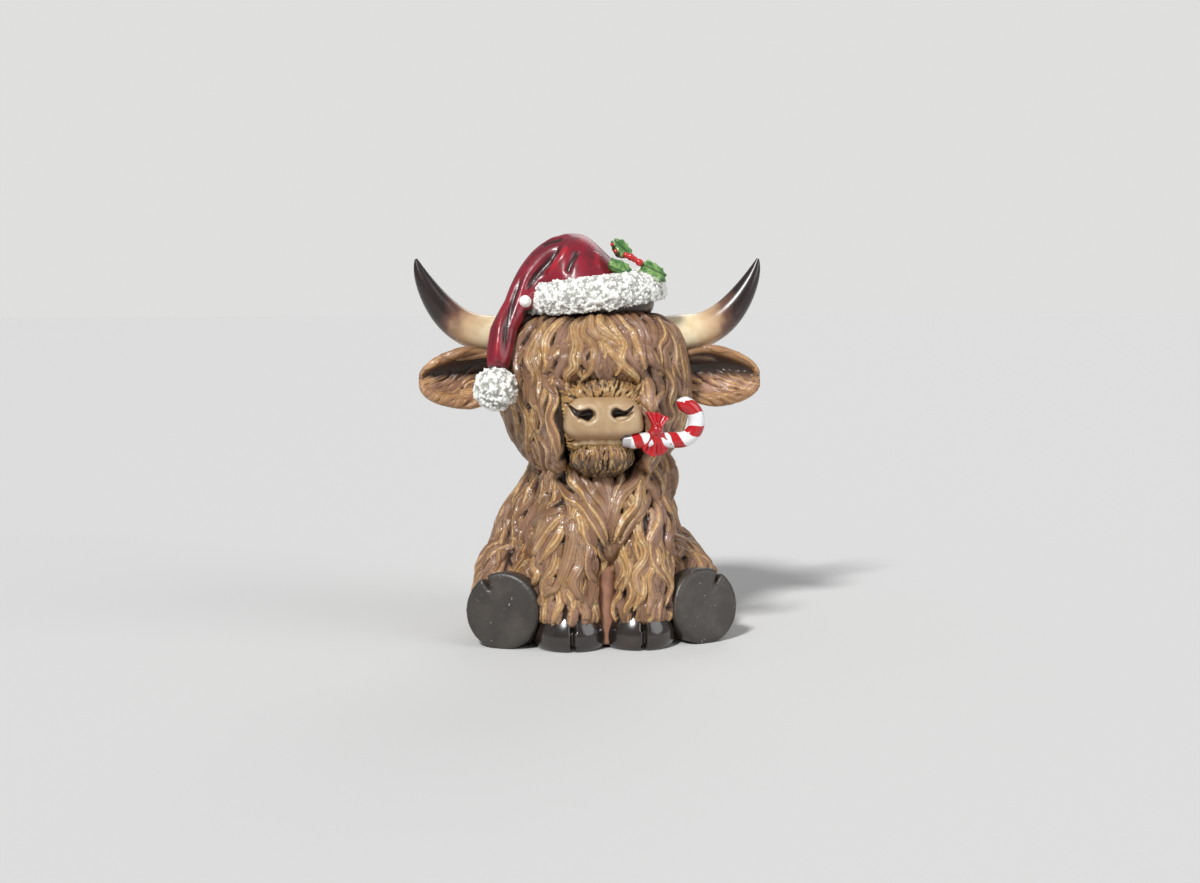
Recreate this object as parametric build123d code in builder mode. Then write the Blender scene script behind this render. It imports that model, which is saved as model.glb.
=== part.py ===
"""Seated highland cow ornament: a shaggy cow in a floppy hat, holding a candy cane.

The origin is on the table under the middle of the seated body. The cow faces -Y,
its left-hand pieces in the picture (names ending in left) lie towards -X, and +Z is up.
"""

import os
from functools import partial
from math import cos, pi, radians, sin

from build123d import *

os.makedirs("parts", exist_ok=True)

# Fits between pieces that are glued together
glue_gap = 0.1
cut_overrun = 1.0

# Seated body
torso_width = 73.0
torso_depth = 74.0
torso_height = 72.0
torso_section_shares = (
    # height, half width, half depth, set back (share of the depth)
    (0.0, 0.90, 0.92, 0.105),
    (0.08, 0.97, 0.97, 0.105),
    (0.28, 1.00, 1.00, 0.105),
    (0.48, 0.96, 0.95, 0.10),
    (0.67, 0.80, 0.80, 0.072),
    (0.84, 0.66, 0.68, 0.04),
    (1.0, 0.57, 0.58, 0.0),
)
web_width = 6.0
web_front = 39.0
web_height = 36.0

# Head block under the hair
head_width = 71.0
head_depth = 62.0
head_half_height = 34.0
head_centre_height = 90.0
head_forward = 5.0
head_squareness = 3.0
head_lower_squareness = 2.0
head_level_shares = (-0.95, -0.86, -0.62, -0.3, 0.0, 0.3, 0.62, 0.86, 0.95)

# Hair locks
lock_rise = 2.2
lock_root = 1.6
fringe_lock_width = 9.2
fringe_wave = 1.6
fringe_top_share = 0.86
fringe_profile_shares = ((0.0, 0.62), (0.28, 0.95), (0.58, 1.0), (0.82, 0.72), (1.0, 0.12))
fringe_lock_shares = (
    # angle at the crown and at the tip in degrees from the front, height of the tip
    (-101, -96, 0.10),
    (-84, -80, 0.02),
    (-67, -67, -0.02),
    (-50, -53, 0.08),
    (-36, -40, 0.42),
    (-22, -26, 0.55),
    (-8, -11, 0.64),
    (7, 6, 0.66),
    (21, 22, 0.58),
    (35, 38, 0.48),
    (49, 53, 0.22),
    (66, 67, 0.06),
    (83, 80, 0.02),
    (101, 96, 0.10),
)
mane_lock_shares = (
    # angle at the crown and at the tip in degrees from the front, height of the tip
    (118, 113, 0.10),
    (134, 130, 0.06),
    (150, 148, 0.10),
    (166, 166, 0.05),
    (182, 184, 0.10),
    (198, 199, 0.05),
    (214, 216, 0.10),
    (230, 233, 0.06),
    (242, 247, 0.10),
)
leg_lock_width = 6.6
leg_lock_shares = (
    # angle at the shoulder and at the tip in degrees from the front, tip height
    (-62, -70, 0.06),
    (-34, -36, 0.0),
    (-6, -4, 0.04),
    (22, 28, 0.0),
    (50, 60, 0.06),
)
bib_lock_width = 7.6
bib_lock_shares = (
    (-74, -62, 0.30),
    (-46, -34, 0.14),
    (-18, -6, 0.0),
    (18, 22, 0.06),
    (46, 40, 0.22),
    (74, 62, 0.34),
)

# Snout, nose pad and chin
snout_width = 37.0
snout_height = 38.0
snout_centre_height = 84.5
snout_root = 22.0
snout_length = 22.5
snout_section_shares = ((0.0, 1.0, 1.0), (0.5, 0.98, 0.90), (0.82, 0.90, 0.76), (1.0, 0.76, 0.56))
pad_width = 29.5
pad_height = 15.4
pad_centre_height = 84.6
pad_front = 48.0
pad_length = 11.0
pad_corner_share = 0.42
pad_section_shares = ((0.0, 1.0, 1.0), (0.5, 1.0, 1.0), (0.86, 0.92, 0.84), (1.0, 0.74, 0.56))
nostril_radius = 2.2
nostril_spacing = 10.4
nostril_height = 86.0
nostril_depth = 3.0
nostril_tail = 7.0
nostril_tail_rise = 2.6
chin_width = 25.0
chin_height = 14.0
chin_centre_height = 70.4
chin_front = 45.5
chin_length = 17.0
chin_section_shares = ((0.0, 1.0, 1.0), (0.6, 0.94, 0.92), (0.88, 0.72, 0.70), (1.0, 0.42, 0.40))

# Ears
ear_root = 27.0
ear_length = 37.0
ear_width = 21.8
ear_cup_depth = 7.6
ear_wall = 2.8
ear_root_height = 98.5
ear_droop = 2.8
ear_front = 6.5
ear_section_shares = (
    # along, width, cup depth, wall
    (0.0, 0.56, 0.72, 1.5),
    (0.24, 0.80, 1.00, 1.0),
    (0.55, 1.00, 0.95, 1.0),
    (0.82, 0.76, 0.64, 1.0),
    (0.94, 0.50, 0.40, 0.70),
    (1.0, 0.22, 0.22, 0.50),
)

# Horns
horn_span = 65.4
horn_root_height = 112.0
horn_rise = 29.2
horn_set_back = 2.0
horn_base_radius = 7.2
horn_path_shares = (
    # across the half span, up the rise, radius
    (0.44, -0.01, 1.0),
    (0.645, 0.05, 0.96),
    (0.765, 0.175, 0.86),
    (0.868, 0.40, 0.72),
    (0.95, 0.69, 0.48),
    (1.0, 1.0, 0.07),
)
peg_radius = 3.0
peg_length = 7.0

# Front legs and hooves, set a little to one side under the head
leg_shift = 1.4
leg_spacing = 25.2
leg_width = 23.6
leg_depth = 26.0
leg_top = 64.0
hoof_height = 13.0
leg_front = 44.0
leg_section_shares = (
    # height, width, depth, set back, moved to the middle
    (0.0, 1.0, 0.94, 0.0, 0.0),
    (0.30, 1.0, 1.0, 0.02, 0.0),
    (0.62, 0.98, 0.96, 0.16, 0.05),
    (0.86, 0.84, 0.84, 0.46, 0.16),
    (1.0, 0.62, 0.62, 0.80, 0.28),
)
hoof_width = 26.2
hoof_depth = 25.6
hoof_front = 47.6
hoof_section_shares = ((0.0, 0.92), (0.16, 1.0), (0.55, 1.0), (1.0, 0.94))
cleft_width = 2.0
cleft_depth = 3.4

# Bib of longer fur on the chest
bib_width = 39.0
bib_depth = 26.0
bib_top = 67.0
bib_height = 33.0
bib_front = 45.0
bib_section_shares = (
    # height, width, depth, set back
    (0.0, 0.12, 0.30, 0.06),
    (0.22, 0.52, 0.62, 0.10),
    (0.58, 1.0, 0.96, 0.22),
    (1.0, 0.86, 1.0, 0.42),
)

# Hind legs and their upturned hooves
sole_radius = 14.2
sole_spacing = 76.0
sole_front = 35.5
sole_height = 13.7
sole_splay = 25.0
sole_tilt = 8.0
hind_hoof_thickness = 10.0
hind_hoof_edge = 1.4
thigh_hip_spacing = 38.0
thigh_hip_set_back = 14.0
thigh_hip_height = 20.0
thigh_ankle_radius = 13.0
thigh_hip_radius = 20.0
thigh_section_shares = ((0.0, 0.0), (0.3, 0.36), (0.65, 0.86), (1.0, 1.0))
thigh_lock_top = 0.97
thigh_lock_tip = 0.12
thigh_lock_width = 8.6
thigh_lock_wave = 4.0
thigh_lock_angles = ((-28, -22), (4, 8), (36, 36), (68, 64), (100, 92))
hind_cleft_length = 13.0
hind_cleft_width = 2.4
hind_cleft_angle = 32.0

# Locks on the back and sides of the body, in rows from the shoulders down
back_lock_width = 9.6
back_lock_rows = (
    # root height and tip height (shares of the torso), then each lock's angle from the front
    (0.92, 0.52, (64, 84, 104, 124, 144, 164, 184, 204, 224, 244, 264, 284, 300)),
    (0.58, 0.16, (112, 204, 222, 240)),
)

# Tail curled against the back
tail_radius = 3.0
tuft_radius = 5.4
tail_root_height = 34.0
tail_lift = 1.0
tail_shares = (
    # angle in degrees from the front, height, radius
    (188, 1.0, 1.0),
    (178, 0.70, 1.0),
    (165, 0.47, 0.92),
    (152, 0.33, 0.86),
)
tuft_shares = ((154, 0.34, 0.45), (147, 0.30, 0.95), (140, 0.29, 0.85), (132, 0.31, 0.2))

# Hat
crown_width = 52.0
crown_depth = 47.0
crown_base_height = 121.0
crown_height = 29.5
crown_forward = 4.0
crown_section_shares = (
    # height, width, depth, moved left (share of the width)
    (0.0, 0.98, 0.98, -0.02),
    (0.28, 0.96, 0.96, -0.01),
    (0.47, 0.80, 0.84, 0.085),
    (0.70, 0.58, 0.68, 0.15),
    (0.90, 0.35, 0.44, 0.155),
    (1.0, 0.12, 0.16, 0.14),
)
drape_radius = 8.4
drape_reach = 36.8
drape_top = 141.5
drape_drop = 40.0
drape_forward = 24.5
drape_shares = (
    # across, down, forward, radius
    (0.26, 0.0, 0.20, 1.0),
    (0.52, 0.05, 0.30, 0.88),
    (0.75, 0.28, 0.50, 0.72),
    (0.89, 0.55, 0.72, 0.62),
    (0.965, 0.82, 0.90, 0.57),
    (1.0, 1.0, 1.0, 0.50),
)
trim_width = 56.0
trim_depth = 51.0
trim_height = 14.4
trim_centre_height = 128.2
trim_tilt = 4.8
trim_shift = 0.6
trim_section_shares = ((0.0, 0.86), (0.2, 0.97), (0.5, 1.0), (0.8, 0.96), (1.0, 0.84))
pompom_radius = 7.9
pompom_side = 37.5
pompom_height = 94.2
pompom_forward = 26.5
paste_drop_radius = 2.5
paste_drop_side = 25.2
paste_drop_forward = 16.0
paste_drop_height = 125.9

# Holly sprig
leaf_width = 6.6
leaf_thickness = 1.2
leaf_backing = 4.5
leaf_backing_taper = 24.0
leaf_spike_shares = ((0.22, 0.78), (0.50, 1.0), (0.78, 0.70))
leaf_hollow_share = 0.74
sprig_side = 13.2
sprig_forward = 16.5
sprig_height = 139.6
sprig_facing = (0.30, -0.78, 0.55)
leaf_turns_and_lengths = ((133.0, 13.0), (175.0, 11.0), (-27.0, 15.0))
leaf_root_overlap = 1.5
berry_radius = 1.7
berry_spot_shares = ((-0.55, 0.35), (1.1, -0.35), (-1.7, 1.6), (2.2, -1.2))

# Candy cane and its bow
cane_radius = 3.0
cane_height = 76.7
cane_forward = 45.0
cane_start = 6.5
cane_straight = 20.5
hook_radius = 6.6
hook_turn = 186.0
cane_end_round_share = 0.45
bow_side = 18.6
bow_rise = 3.4
knot_radius = 4.1
knot_length = 4.2
knot_edge = 1.2
bow_forward = 47.0
bow_fold_length = 9.4
bow_fold_width = 5.2
bow_fold_thickness = 3.0
bow_fold_turns_and_length_shares = (
    (-22.0, 0.80),
    (10.0, 0.68),
    (36.0, 0.62),
    (146.0, 0.82),
    (166.0, 0.94),
    (187.0, 1.0),
    (209.0, 0.92),
)
bow_fold_shares = ((0.25, 0.50, 1.0), (0.6, 0.72, 1.0), (0.88, 1.0, 0.8), (1.0, 0.82, 0.5))


def loft_levels(levels):
    """Lofts a smooth body through level ellipses, inside the part being built."""
    sections = []
    for z, x, y, half_x, half_y in levels:
        with BuildSketch(Plane.XY.offset(z)) as section:
            with Locations((x, y)):
                Ellipse(half_x, half_y)
        sections.append(section.sketch)
    loft(sections=sections)


def loft_circles(points, radii, side):
    """Lofts a round bar of changing radius along points, inside the part being built."""
    sections = []
    for index, (point, radius) in enumerate(zip(points, radii)):
        before = points[max(0, index - 1)]
        after = points[min(len(points) - 1, index + 1)]
        run = (after - before).normalized()
        with BuildSketch(Plane(point, x_dir=run.cross(side), z_dir=run)) as section:
            Circle(radius)
        sections.append(section.sketch)
    loft(sections=sections)


def blend_levels(levels, z):
    """The ellipse (centre x, centre y, half width, half depth) of a body at height z."""
    for low, high in zip(levels, levels[1:]):
        if z <= high[0] or high is levels[-1]:
            part_way = max(0.0, min(1.0, (z - low[0]) / (high[0] - low[0])))
            return [a + (b - a) * part_way for a, b in zip(low[1:], high[1:])]
    return list(levels[-1][1:])


def skin_point(levels, angle, z, lift=0.0):
    """A point on a body's skin, at an angle in degrees from the front, towards +X."""
    x, y, half_x, half_y = blend_levels(levels, z)
    turn = radians(angle)
    return Vector(x + (half_x + lift) * sin(turn), y - (half_y + lift) * cos(turn), z)


def add_lock(skin, start, end, top, bottom, width, wave_turn):
    """Lofts one tapering, waving lock of hair down a skin, inside the part being built."""
    stations = []
    for along, fullness in fringe_profile_shares:
        angle = start + (end - start) * along + wave_turn * sin(2 * pi * along)
        stations.append((angle, top + (bottom - top) * along, fullness))
    points = [skin(angle, place) for angle, place, _ in stations]
    sections = []
    for index, (angle, place, fullness) in enumerate(stations):
        before = points[max(0, index - 1)]
        after = points[min(len(points) - 1, index + 1)]
        run = (after - before).normalized()
        outward = skin(angle, place, lock_rise) - points[index]
        side = run.cross(outward).normalized()
        half = width * fullness / 2
        rise = lock_rise * (0.4 + 0.6 * fullness)
        with BuildSketch(Plane(points[index], x_dir=side, z_dir=run)) as section:
            with BuildLine():
                out = -1 if side.cross(run).dot(outward) > 0 else 1
                ThreePointArc((-half, 0), (0, out * rise), (half, 0))
                ThreePointArc((half, 0), (0, -out * lock_root), (-half, 0))
            make_face()
        sections.append(section.sketch)
    loft(sections=sections)


def degrees_of(distance, levels, z):
    """The angle in degrees that a distance along the skin covers at height z."""
    half_x = blend_levels(levels, z)[2]
    return distance / half_x * 180 / pi


def thigh_point(ankle, hip, outward, angle, along, lift=0.0):
    """A point on a thigh's skin, at an angle in degrees from its top, towards the outer side."""
    upward = (hip - ankle).cross(outward).normalized()
    if upward.Z < 0:
        upward = -upward
    for (low, low_fullness), (high, high_fullness) in zip(thigh_section_shares, thigh_section_shares[1:]):
        if along <= high or high == thigh_section_shares[-1][0]:
            part_way = (along - low) / (high - low)
            fullness = low_fullness + (high_fullness - low_fullness) * part_way
            break
    radius = thigh_ankle_radius + (thigh_hip_radius - thigh_ankle_radius) * fullness + lift
    turn = radians(angle)
    return ankle + (hip - ankle) * along + (outward * sin(turn) + upward * cos(turn)) * radius


# Seated body: a bell-shaped casting, flat underneath, with a web between the front legs
torso_levels = [
    (
        torso_height * row[0],
        0.0,
        torso_depth * row[3],
        torso_width * row[1] / 2,
        torso_depth * row[2] / 2,
    )
    for row in torso_section_shares
]
with BuildPart() as torso:
    loft_levels(torso_levels)
    with BuildSketch(Plane.XY):
        with Locations((leg_shift, -web_front / 2)):
            Rectangle(web_width, web_front)
    extrude(amount=web_height)
torso.part.label = "torso"

# Head: squarish above and narrowing to the chin, its neck hollow fitted over the body
head_levels = []
for level in head_level_shares:
    squareness = head_squareness if level > 0 else head_lower_squareness
    fullness = (1 - abs(level) ** squareness) ** (1 / squareness)
    head_levels.append(
        (
            head_centre_height + head_half_height * level,
            0.0,
            -head_forward,
            head_width * fullness / 2,
            head_depth * fullness / 2,
        )
    )
horn_seat = skin_point(head_levels, 90, horn_root_height).X
peg_root = horn_seat - peg_length
with BuildPart() as head_block:
    loft_levels(head_levels)

# The outside of the hair on the head, which the horns, ears, hat and pompom are seated on
hair_lift = lock_rise + glue_gap
with BuildPart() as hair_shell:
    loft_levels([(z, x, y, w + hair_lift, d + hair_lift) for z, x, y, w, d in head_levels])

with BuildPart() as sockets:
    for hand in (-1, 1):
        socket_root = (hand * (peg_root - glue_gap), horn_set_back, horn_root_height)
        with BuildSketch(Plane(socket_root, x_dir=(0, 1, 0), z_dir=(hand, 0, 0))):
            Circle(peg_radius + glue_gap)
    extrude(amount=peg_length + peg_radius)
with BuildPart() as head:
    add(head_block.part)
    add(sockets.part, mode=Mode.SUBTRACT)
    add(torso.part, mode=Mode.SUBTRACT)
head.part.label = "head"

# Fringe: tapering locks that fall from under the hat over the brow and cheeks
fringe_top = head_centre_height + head_half_height * fringe_top_share
head_height = head_levels[-1][0] - head_levels[0][0]
head_skin = partial(skin_point, head_levels)
head_wave = degrees_of(fringe_wave, head_levels, fringe_top)
with BuildPart() as fringe:
    for start, end, tip_share in fringe_lock_shares:
        tip = head_levels[0][0] + head_height * tip_share
        add_lock(head_skin, start, end, fringe_top, tip, fringe_lock_width, head_wave)
    for neighbour in (head_block, torso, sockets):
        add(neighbour.part, mode=Mode.SUBTRACT)
fringe.part.label = "fringe"

# Mane: the same locks over the back of the head
with BuildPart() as mane:
    for start, end, tip_share in mane_lock_shares:
        tip = head_levels[0][0] + head_height * tip_share
        add_lock(head_skin, start, end, fringe_top, tip, fringe_lock_width, head_wave)
    for neighbour in (head_block, torso, sockets):
        add(neighbour.part, mode=Mode.SUBTRACT)
mane.part.label = "mane"

# Candy cane: a round bar bent to a hook, its plain end held in the mouth
cane_end = cane_start + cane_straight
with BuildPart() as candy_cane:
    with BuildLine(Plane.XZ.offset(cane_forward)) as cane_line:
        straight = Line((cane_start, cane_height), (cane_end, cane_height))
        CenterArc((cane_end, cane_height + hook_radius), hook_radius, -90, hook_turn)
    with BuildSketch(Plane(straight @ 0, z_dir=straight % 0)):
        Circle(cane_radius)
    sweep(path=cane_line.line)
    fillet(candy_cane.faces().filter_by(GeomType.PLANE).edges(), cane_radius * cane_end_round_share)
candy_cane.part.label = "candy_cane"

# The room that the cane takes in the mouth
bore_start = (cane_start - glue_gap, -cane_forward, cane_height)
with BuildPart() as mouth_bore:
    with BuildSketch(Plane(bore_start, x_dir=(0, 1, 0), z_dir=(1, 0, 0))):
        Circle(cane_radius + glue_gap)
    extrude(amount=cane_straight)

# Nose pad: the bare, rounded front of the muzzle with its comma-shaped nostrils
with BuildPart() as nose_pad:
    for along, width, height in pad_section_shares:
        pad_back = (0, -pad_front + pad_length * (1 - along), pad_centre_height)
        with BuildSketch(Plane(pad_back, x_dir=(1, 0, 0), z_dir=(0, -1, 0))):
            rounding = pad_height * height * pad_corner_share
            RectangleRounded(pad_width * width, pad_height * height, rounding)
    loft()
    for hand in (-1, 1):
        nostril_place = (hand * nostril_spacing / 2, -pad_front, nostril_height)
        with BuildSketch(Plane(nostril_place, x_dir=(hand, 0, 0), z_dir=(0, -1, 0))):
            Circle(nostril_radius)
            with BuildLine():
                ThreePointArc(
                    (0, nostril_radius),
                    (nostril_tail / 2, nostril_tail_rise / 2),
                    (nostril_tail, nostril_tail_rise),
                )
                ThreePointArc(
                    (nostril_tail, nostril_tail_rise),
                    (nostril_tail / 2, -nostril_radius / 2),
                    (0, -nostril_radius),
                )
                Line((0, -nostril_radius), (0, nostril_radius))
            make_face()
        extrude(amount=-nostril_depth, mode=Mode.SUBTRACT)
    add(head_block.part, mode=Mode.SUBTRACT)
    add(mouth_bore.part, mode=Mode.SUBTRACT)
nose_pad.part.label = "nose_pad"

# Snout: the furry muzzle around the nose pad, lofted forwards from inside the head
with BuildPart() as snout:
    for along, width, height in snout_section_shares:
        snout_place = (0, -snout_root - snout_length * along, snout_centre_height)
        with BuildSketch(Plane(snout_place, x_dir=(1, 0, 0), z_dir=(0, -1, 0))):
            Ellipse(snout_width * width / 2, snout_height * height / 2)
    loft()
    for neighbour in (head, torso, fringe, nose_pad, mouth_bore):
        add(neighbour.part, mode=Mode.SUBTRACT)
snout.part.label = "snout"

# Chin: the lower jaw, closing the mouth under the nose pad and the cane
with BuildPart() as chin:
    for along, width, height in chin_section_shares:
        chin_place = (0, -chin_front + chin_length * (1 - along), chin_centre_height)
        with BuildSketch(Plane(chin_place, x_dir=(1, 0, 0), z_dir=(0, -1, 0))):
            Ellipse(chin_width * width / 2, chin_height * height / 2)
    loft()
    for neighbour in (snout, head, torso, nose_pad, mouth_bore):
        add(neighbour.part, mode=Mode.SUBTRACT)
chin.part.label = "chin"

# Bib: the longer fur of the chest, drawn down to a point between the front legs
bib_levels = [
    (
        bib_top - bib_height + bib_height * row[0],
        leg_shift,
        -bib_front + bib_depth * row[3] + bib_depth * row[2] / 2,
        bib_width * row[1] / 2,
        bib_depth * row[2] / 2,
    )
    for row in bib_section_shares
]
bib_skin = partial(skin_point, bib_levels)
bib_wave = degrees_of(fringe_wave, bib_levels, bib_top)
with BuildPart() as bib:
    loft_levels(bib_levels)
    for start, end, tip_share in bib_lock_shares:
        tip = bib_top - bib_height + bib_height * tip_share
        add_lock(bib_skin, start, end, bib_top, tip, bib_lock_width, bib_wave)
    for neighbour in (torso, head, snout, chin):
        add(neighbour.part, mode=Mode.SUBTRACT)
bib.part.label = "bib"

# Front legs: furry columns with their own locks, standing in their hooves
hoof_centre_y = hoof_depth / 2 - hoof_front
front_legs = []
front_hooves = []
for hand, name in ((-1, "left"), (1, "right")):
    leg_levels = [
        (
            hoof_height + (leg_top - hoof_height) * row[0],
            leg_shift + hand * leg_spacing / 2 * (1 - row[4]),
            -leg_front + leg_depth * row[3] + leg_depth * row[2] / 2,
            leg_width * row[1] / 2,
            leg_depth * row[2] / 2,
        )
        for row in leg_section_shares
    ]
    leg_lock_top = leg_levels[-2][0]
    leg_skin = partial(skin_point, leg_levels)
    leg_wave = degrees_of(fringe_wave / 2, leg_levels, leg_lock_top)
    with BuildPart() as leg:
        loft_levels(leg_levels)
        for start, end, tip_share in leg_lock_shares:
            tip = hoof_height + (leg_top - hoof_height) * tip_share
            add_lock(leg_skin, hand * start, hand * end, leg_lock_top, tip, leg_lock_width, leg_wave)
        split(bisect_by=Plane.XY.offset(hoof_height))
        split(bisect_by=Plane.YZ.offset(leg_shift), keep=Keep.TOP if hand > 0 else Keep.BOTTOM)
        for neighbour in (torso, head, chin, bib):
            add(neighbour.part, mode=Mode.SUBTRACT)
        add(leg.solids().sort_by(SortBy.VOLUME)[-1], mode=Mode.REPLACE)
    leg.part.label = f"front_leg_{name}"
    front_legs.append(leg)

    with BuildPart() as hoof:
        for height, size in hoof_section_shares:
            with BuildSketch(Plane.XY.offset(hoof_height * height)):
                with Locations((leg_shift + hand * leg_spacing / 2, hoof_centre_y)):
                    Ellipse(hoof_width * size / 2, hoof_depth * size / 2)
        loft()
        toe = (leg_shift + hand * leg_spacing / 2, -hoof_front, 0)
        with BuildSketch(Plane(toe)):
            with BuildLine():
                Polyline((-cleft_width / 2, 0), (0, cleft_depth), (cleft_width / 2, 0), close=True)
            make_face()
        extrude(amount=hoof_height, mode=Mode.SUBTRACT)
        for neighbour in (torso, *front_hooves):
            add(neighbour.part, mode=Mode.SUBTRACT)
    hoof.part.label = f"front_hoof_{name}"
    front_hooves.append(hoof)

# Hind legs: each thigh tapers to a round hoof whose sole is turned up towards the front
thighs = []
hind_hooves = []
for hand, name in ((-1, "left"), (1, "right")):
    splay = radians(sole_splay)
    tilt = radians(sole_tilt)
    facing = Vector(hand * sin(splay) * cos(tilt), -cos(splay) * cos(tilt), sin(tilt))
    sole_centre = Vector(leg_shift + hand * sole_spacing / 2, -sole_front, sole_height)
    level_side = Vector(cos(splay), hand * sin(splay), 0)
    upwards = facing.cross(level_side)
    slant = radians(hand * hind_cleft_angle)
    across_cleft = level_side * cos(slant) - upwards * sin(slant)
    with BuildPart() as hoof:
        with BuildSketch(Plane(sole_centre, x_dir=level_side, z_dir=facing)):
            Circle(sole_radius)
        extrude(amount=-hind_hoof_thickness)
        fillet(hoof.faces().filter_by(GeomType.PLANE).edges(), hind_hoof_edge)
        with BuildSketch(Plane(sole_centre, x_dir=across_cleft, z_dir=facing)):
            with BuildLine():
                Polyline(
                    (0, sole_radius - hind_cleft_length),
                    (hind_cleft_width / 2, sole_radius + cut_overrun),
                    (-hind_cleft_width / 2, sole_radius + cut_overrun),
                    close=True,
                )
            make_face()
        extrude(amount=-hind_hoof_thickness, mode=Mode.SUBTRACT)
        split(bisect_by=Plane.XY)
        for neighbour in (torso, *front_hooves, *front_legs):
            add(neighbour.part, mode=Mode.SUBTRACT)
    hoof.part.label = f"hind_hoof_{name}"
    hind_hooves.append(hoof)

    ankle = sole_centre - facing * hind_hoof_thickness
    hip = Vector(leg_shift + hand * thigh_hip_spacing / 2, thigh_hip_set_back, thigh_hip_height)
    with BuildPart() as thigh:
        for along, fullness in thigh_section_shares:
            middle = ankle + (hip - ankle) * along
            heading = (facing * (1 - along) + (ankle - hip).normalized() * along).normalized()
            radius = thigh_ankle_radius + (thigh_hip_radius - thigh_ankle_radius) * fullness
            with BuildSketch(Plane(middle, x_dir=level_side, z_dir=-heading)):
                Circle(radius)
        loft()
        skin = partial(thigh_point, ankle, hip, level_side * hand)
        for start, end in thigh_lock_angles:
            add_lock(skin, start, end, thigh_lock_top, thigh_lock_tip, thigh_lock_width, thigh_lock_wave)
        split(bisect_by=Plane.XY)
        for neighbour in (torso, hoof, *front_hooves, *front_legs):
            add(neighbour.part, mode=Mode.SUBTRACT)
        add(thigh.solids().sort_by(SortBy.VOLUME)[-1], mode=Mode.REPLACE)
    thigh.part.label = f"thigh_{name}"
    thighs.append(thigh)

# Tail: curled down and round the back to one side, ending in a tuft
with BuildPart() as tail:
    for radius, shares in ((tail_radius, tail_shares), (tuft_radius, tuft_shares)):
        spine = [
            skin_point(torso_levels, angle, tail_root_height * height, tail_lift)
            for angle, height, _ in shares
        ]
        loft_circles(spine, [radius * size for _, _, size in shares], Vector(0, 0, 1))
    add(torso.part, mode=Mode.SUBTRACT)
    for thigh in thighs:
        add(thigh.part, mode=Mode.SUBTRACT)
tail.part.label = "tail"

# Back hair: broad locks that fall from the neck over the back and sides of the body
torso_skin = partial(skin_point, torso_levels)
with BuildPart() as back_hair:
    for root_share, tip_share, angles in back_lock_rows:
        root = torso_height * root_share
        tip = torso_height * tip_share
        wave_turn = degrees_of(fringe_wave, torso_levels, root)
        for angle in angles:
            add_lock(torso_skin, angle, angle, root, tip, back_lock_width, wave_turn)
    for neighbour in (torso, head_block, fringe, mane, bib, tail, *front_legs, *thighs):
        add(neighbour.part, mode=Mode.SUBTRACT)
back_hair.part.label = "back_hair"

# Horns: each tapers along an upward curve and stands on a peg glued into the head
horns = []
for hand, name in ((-1, "left"), (1, "right")):
    horn_points = [
        Vector(hand * horn_span * across, horn_set_back, horn_root_height + horn_rise * rise)
        for across, rise, _ in horn_path_shares
    ]
    horn_radii = [horn_base_radius * size for _, _, size in horn_path_shares]
    with BuildPart() as horn:
        loft_circles(horn_points, horn_radii, Vector(0, 1, 0))
        add(hair_shell.part, mode=Mode.SUBTRACT)
        peg_start = (hand * peg_root, horn_set_back, horn_root_height)
        with BuildSketch(Plane(peg_start, x_dir=(0, 1, 0), z_dir=(hand, 0, 0))):
            Circle(peg_radius)
        extrude(amount=peg_length + peg_radius)
    horn.part.label = f"horn_{name}"
    horns.append(horn)

# Ears: cupped leaves that face forwards below the horns
ears = []
for (hand, name), horn in zip(((-1, "left"), (1, "right")), horns):
    back = -hand
    with BuildPart() as ear:
        for along, width, cup, thickness in ear_section_shares:
            place = (
                hand * (ear_root + ear_length * along),
                -ear_front,
                ear_root_height - ear_droop * along,
            )
            half = ear_width * width / 2
            wall = ear_wall * thickness
            depth = ear_cup_depth * cup
            with BuildSketch(Plane(place, x_dir=(0, 0, 1), z_dir=(hand, 0, 0))):
                with BuildLine():
                    ThreePointArc((half, 0), (0, back * depth), (-half, 0))
                    ThreePointArc((-half, 0), (wall / 2 - half, -back * wall / 2), (wall - half, 0))
                    ThreePointArc((wall - half, 0), (0, back * (depth - wall)), (half - wall, 0))
                    ThreePointArc((half - wall, 0), (half - wall / 2, -back * wall / 2), (half, 0))
                make_face()
        loft()
        for neighbour in (hair_shell, horn):
            add(neighbour.part, mode=Mode.SUBTRACT)
        add(ear.solids().sort_by(SortBy.VOLUME)[-1], mode=Mode.REPLACE)
    ear.part.label = f"ear_{name}"
    ears.append(ear)

# Hat: a soft crown whose tail droops past the left horn, cast as one piece
crown_levels = [
    (
        crown_base_height + crown_height * row[0],
        -crown_width * row[3],
        -crown_forward,
        crown_width * row[1] / 2,
        crown_depth * row[2] / 2,
    )
    for row in crown_section_shares
]
drape_points = [
    Vector(-drape_reach * across, -drape_forward * forward, drape_top - drape_drop * down)
    for across, down, forward, _ in drape_shares
]
drape_radii = [drape_radius * size for _, _, _, size in drape_shares]
with BuildPart() as hat:
    loft_levels(crown_levels)
    loft_circles(drape_points, drape_radii, Vector(0, 1, 0))
    for neighbour in (head_block, hair_shell):
        add(neighbour.part, mode=Mode.SUBTRACT)
    add(hat.solids().sort_by(SortBy.VOLUME)[-1], mode=Mode.REPLACE)
hat.part.label = "hat"

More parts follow.
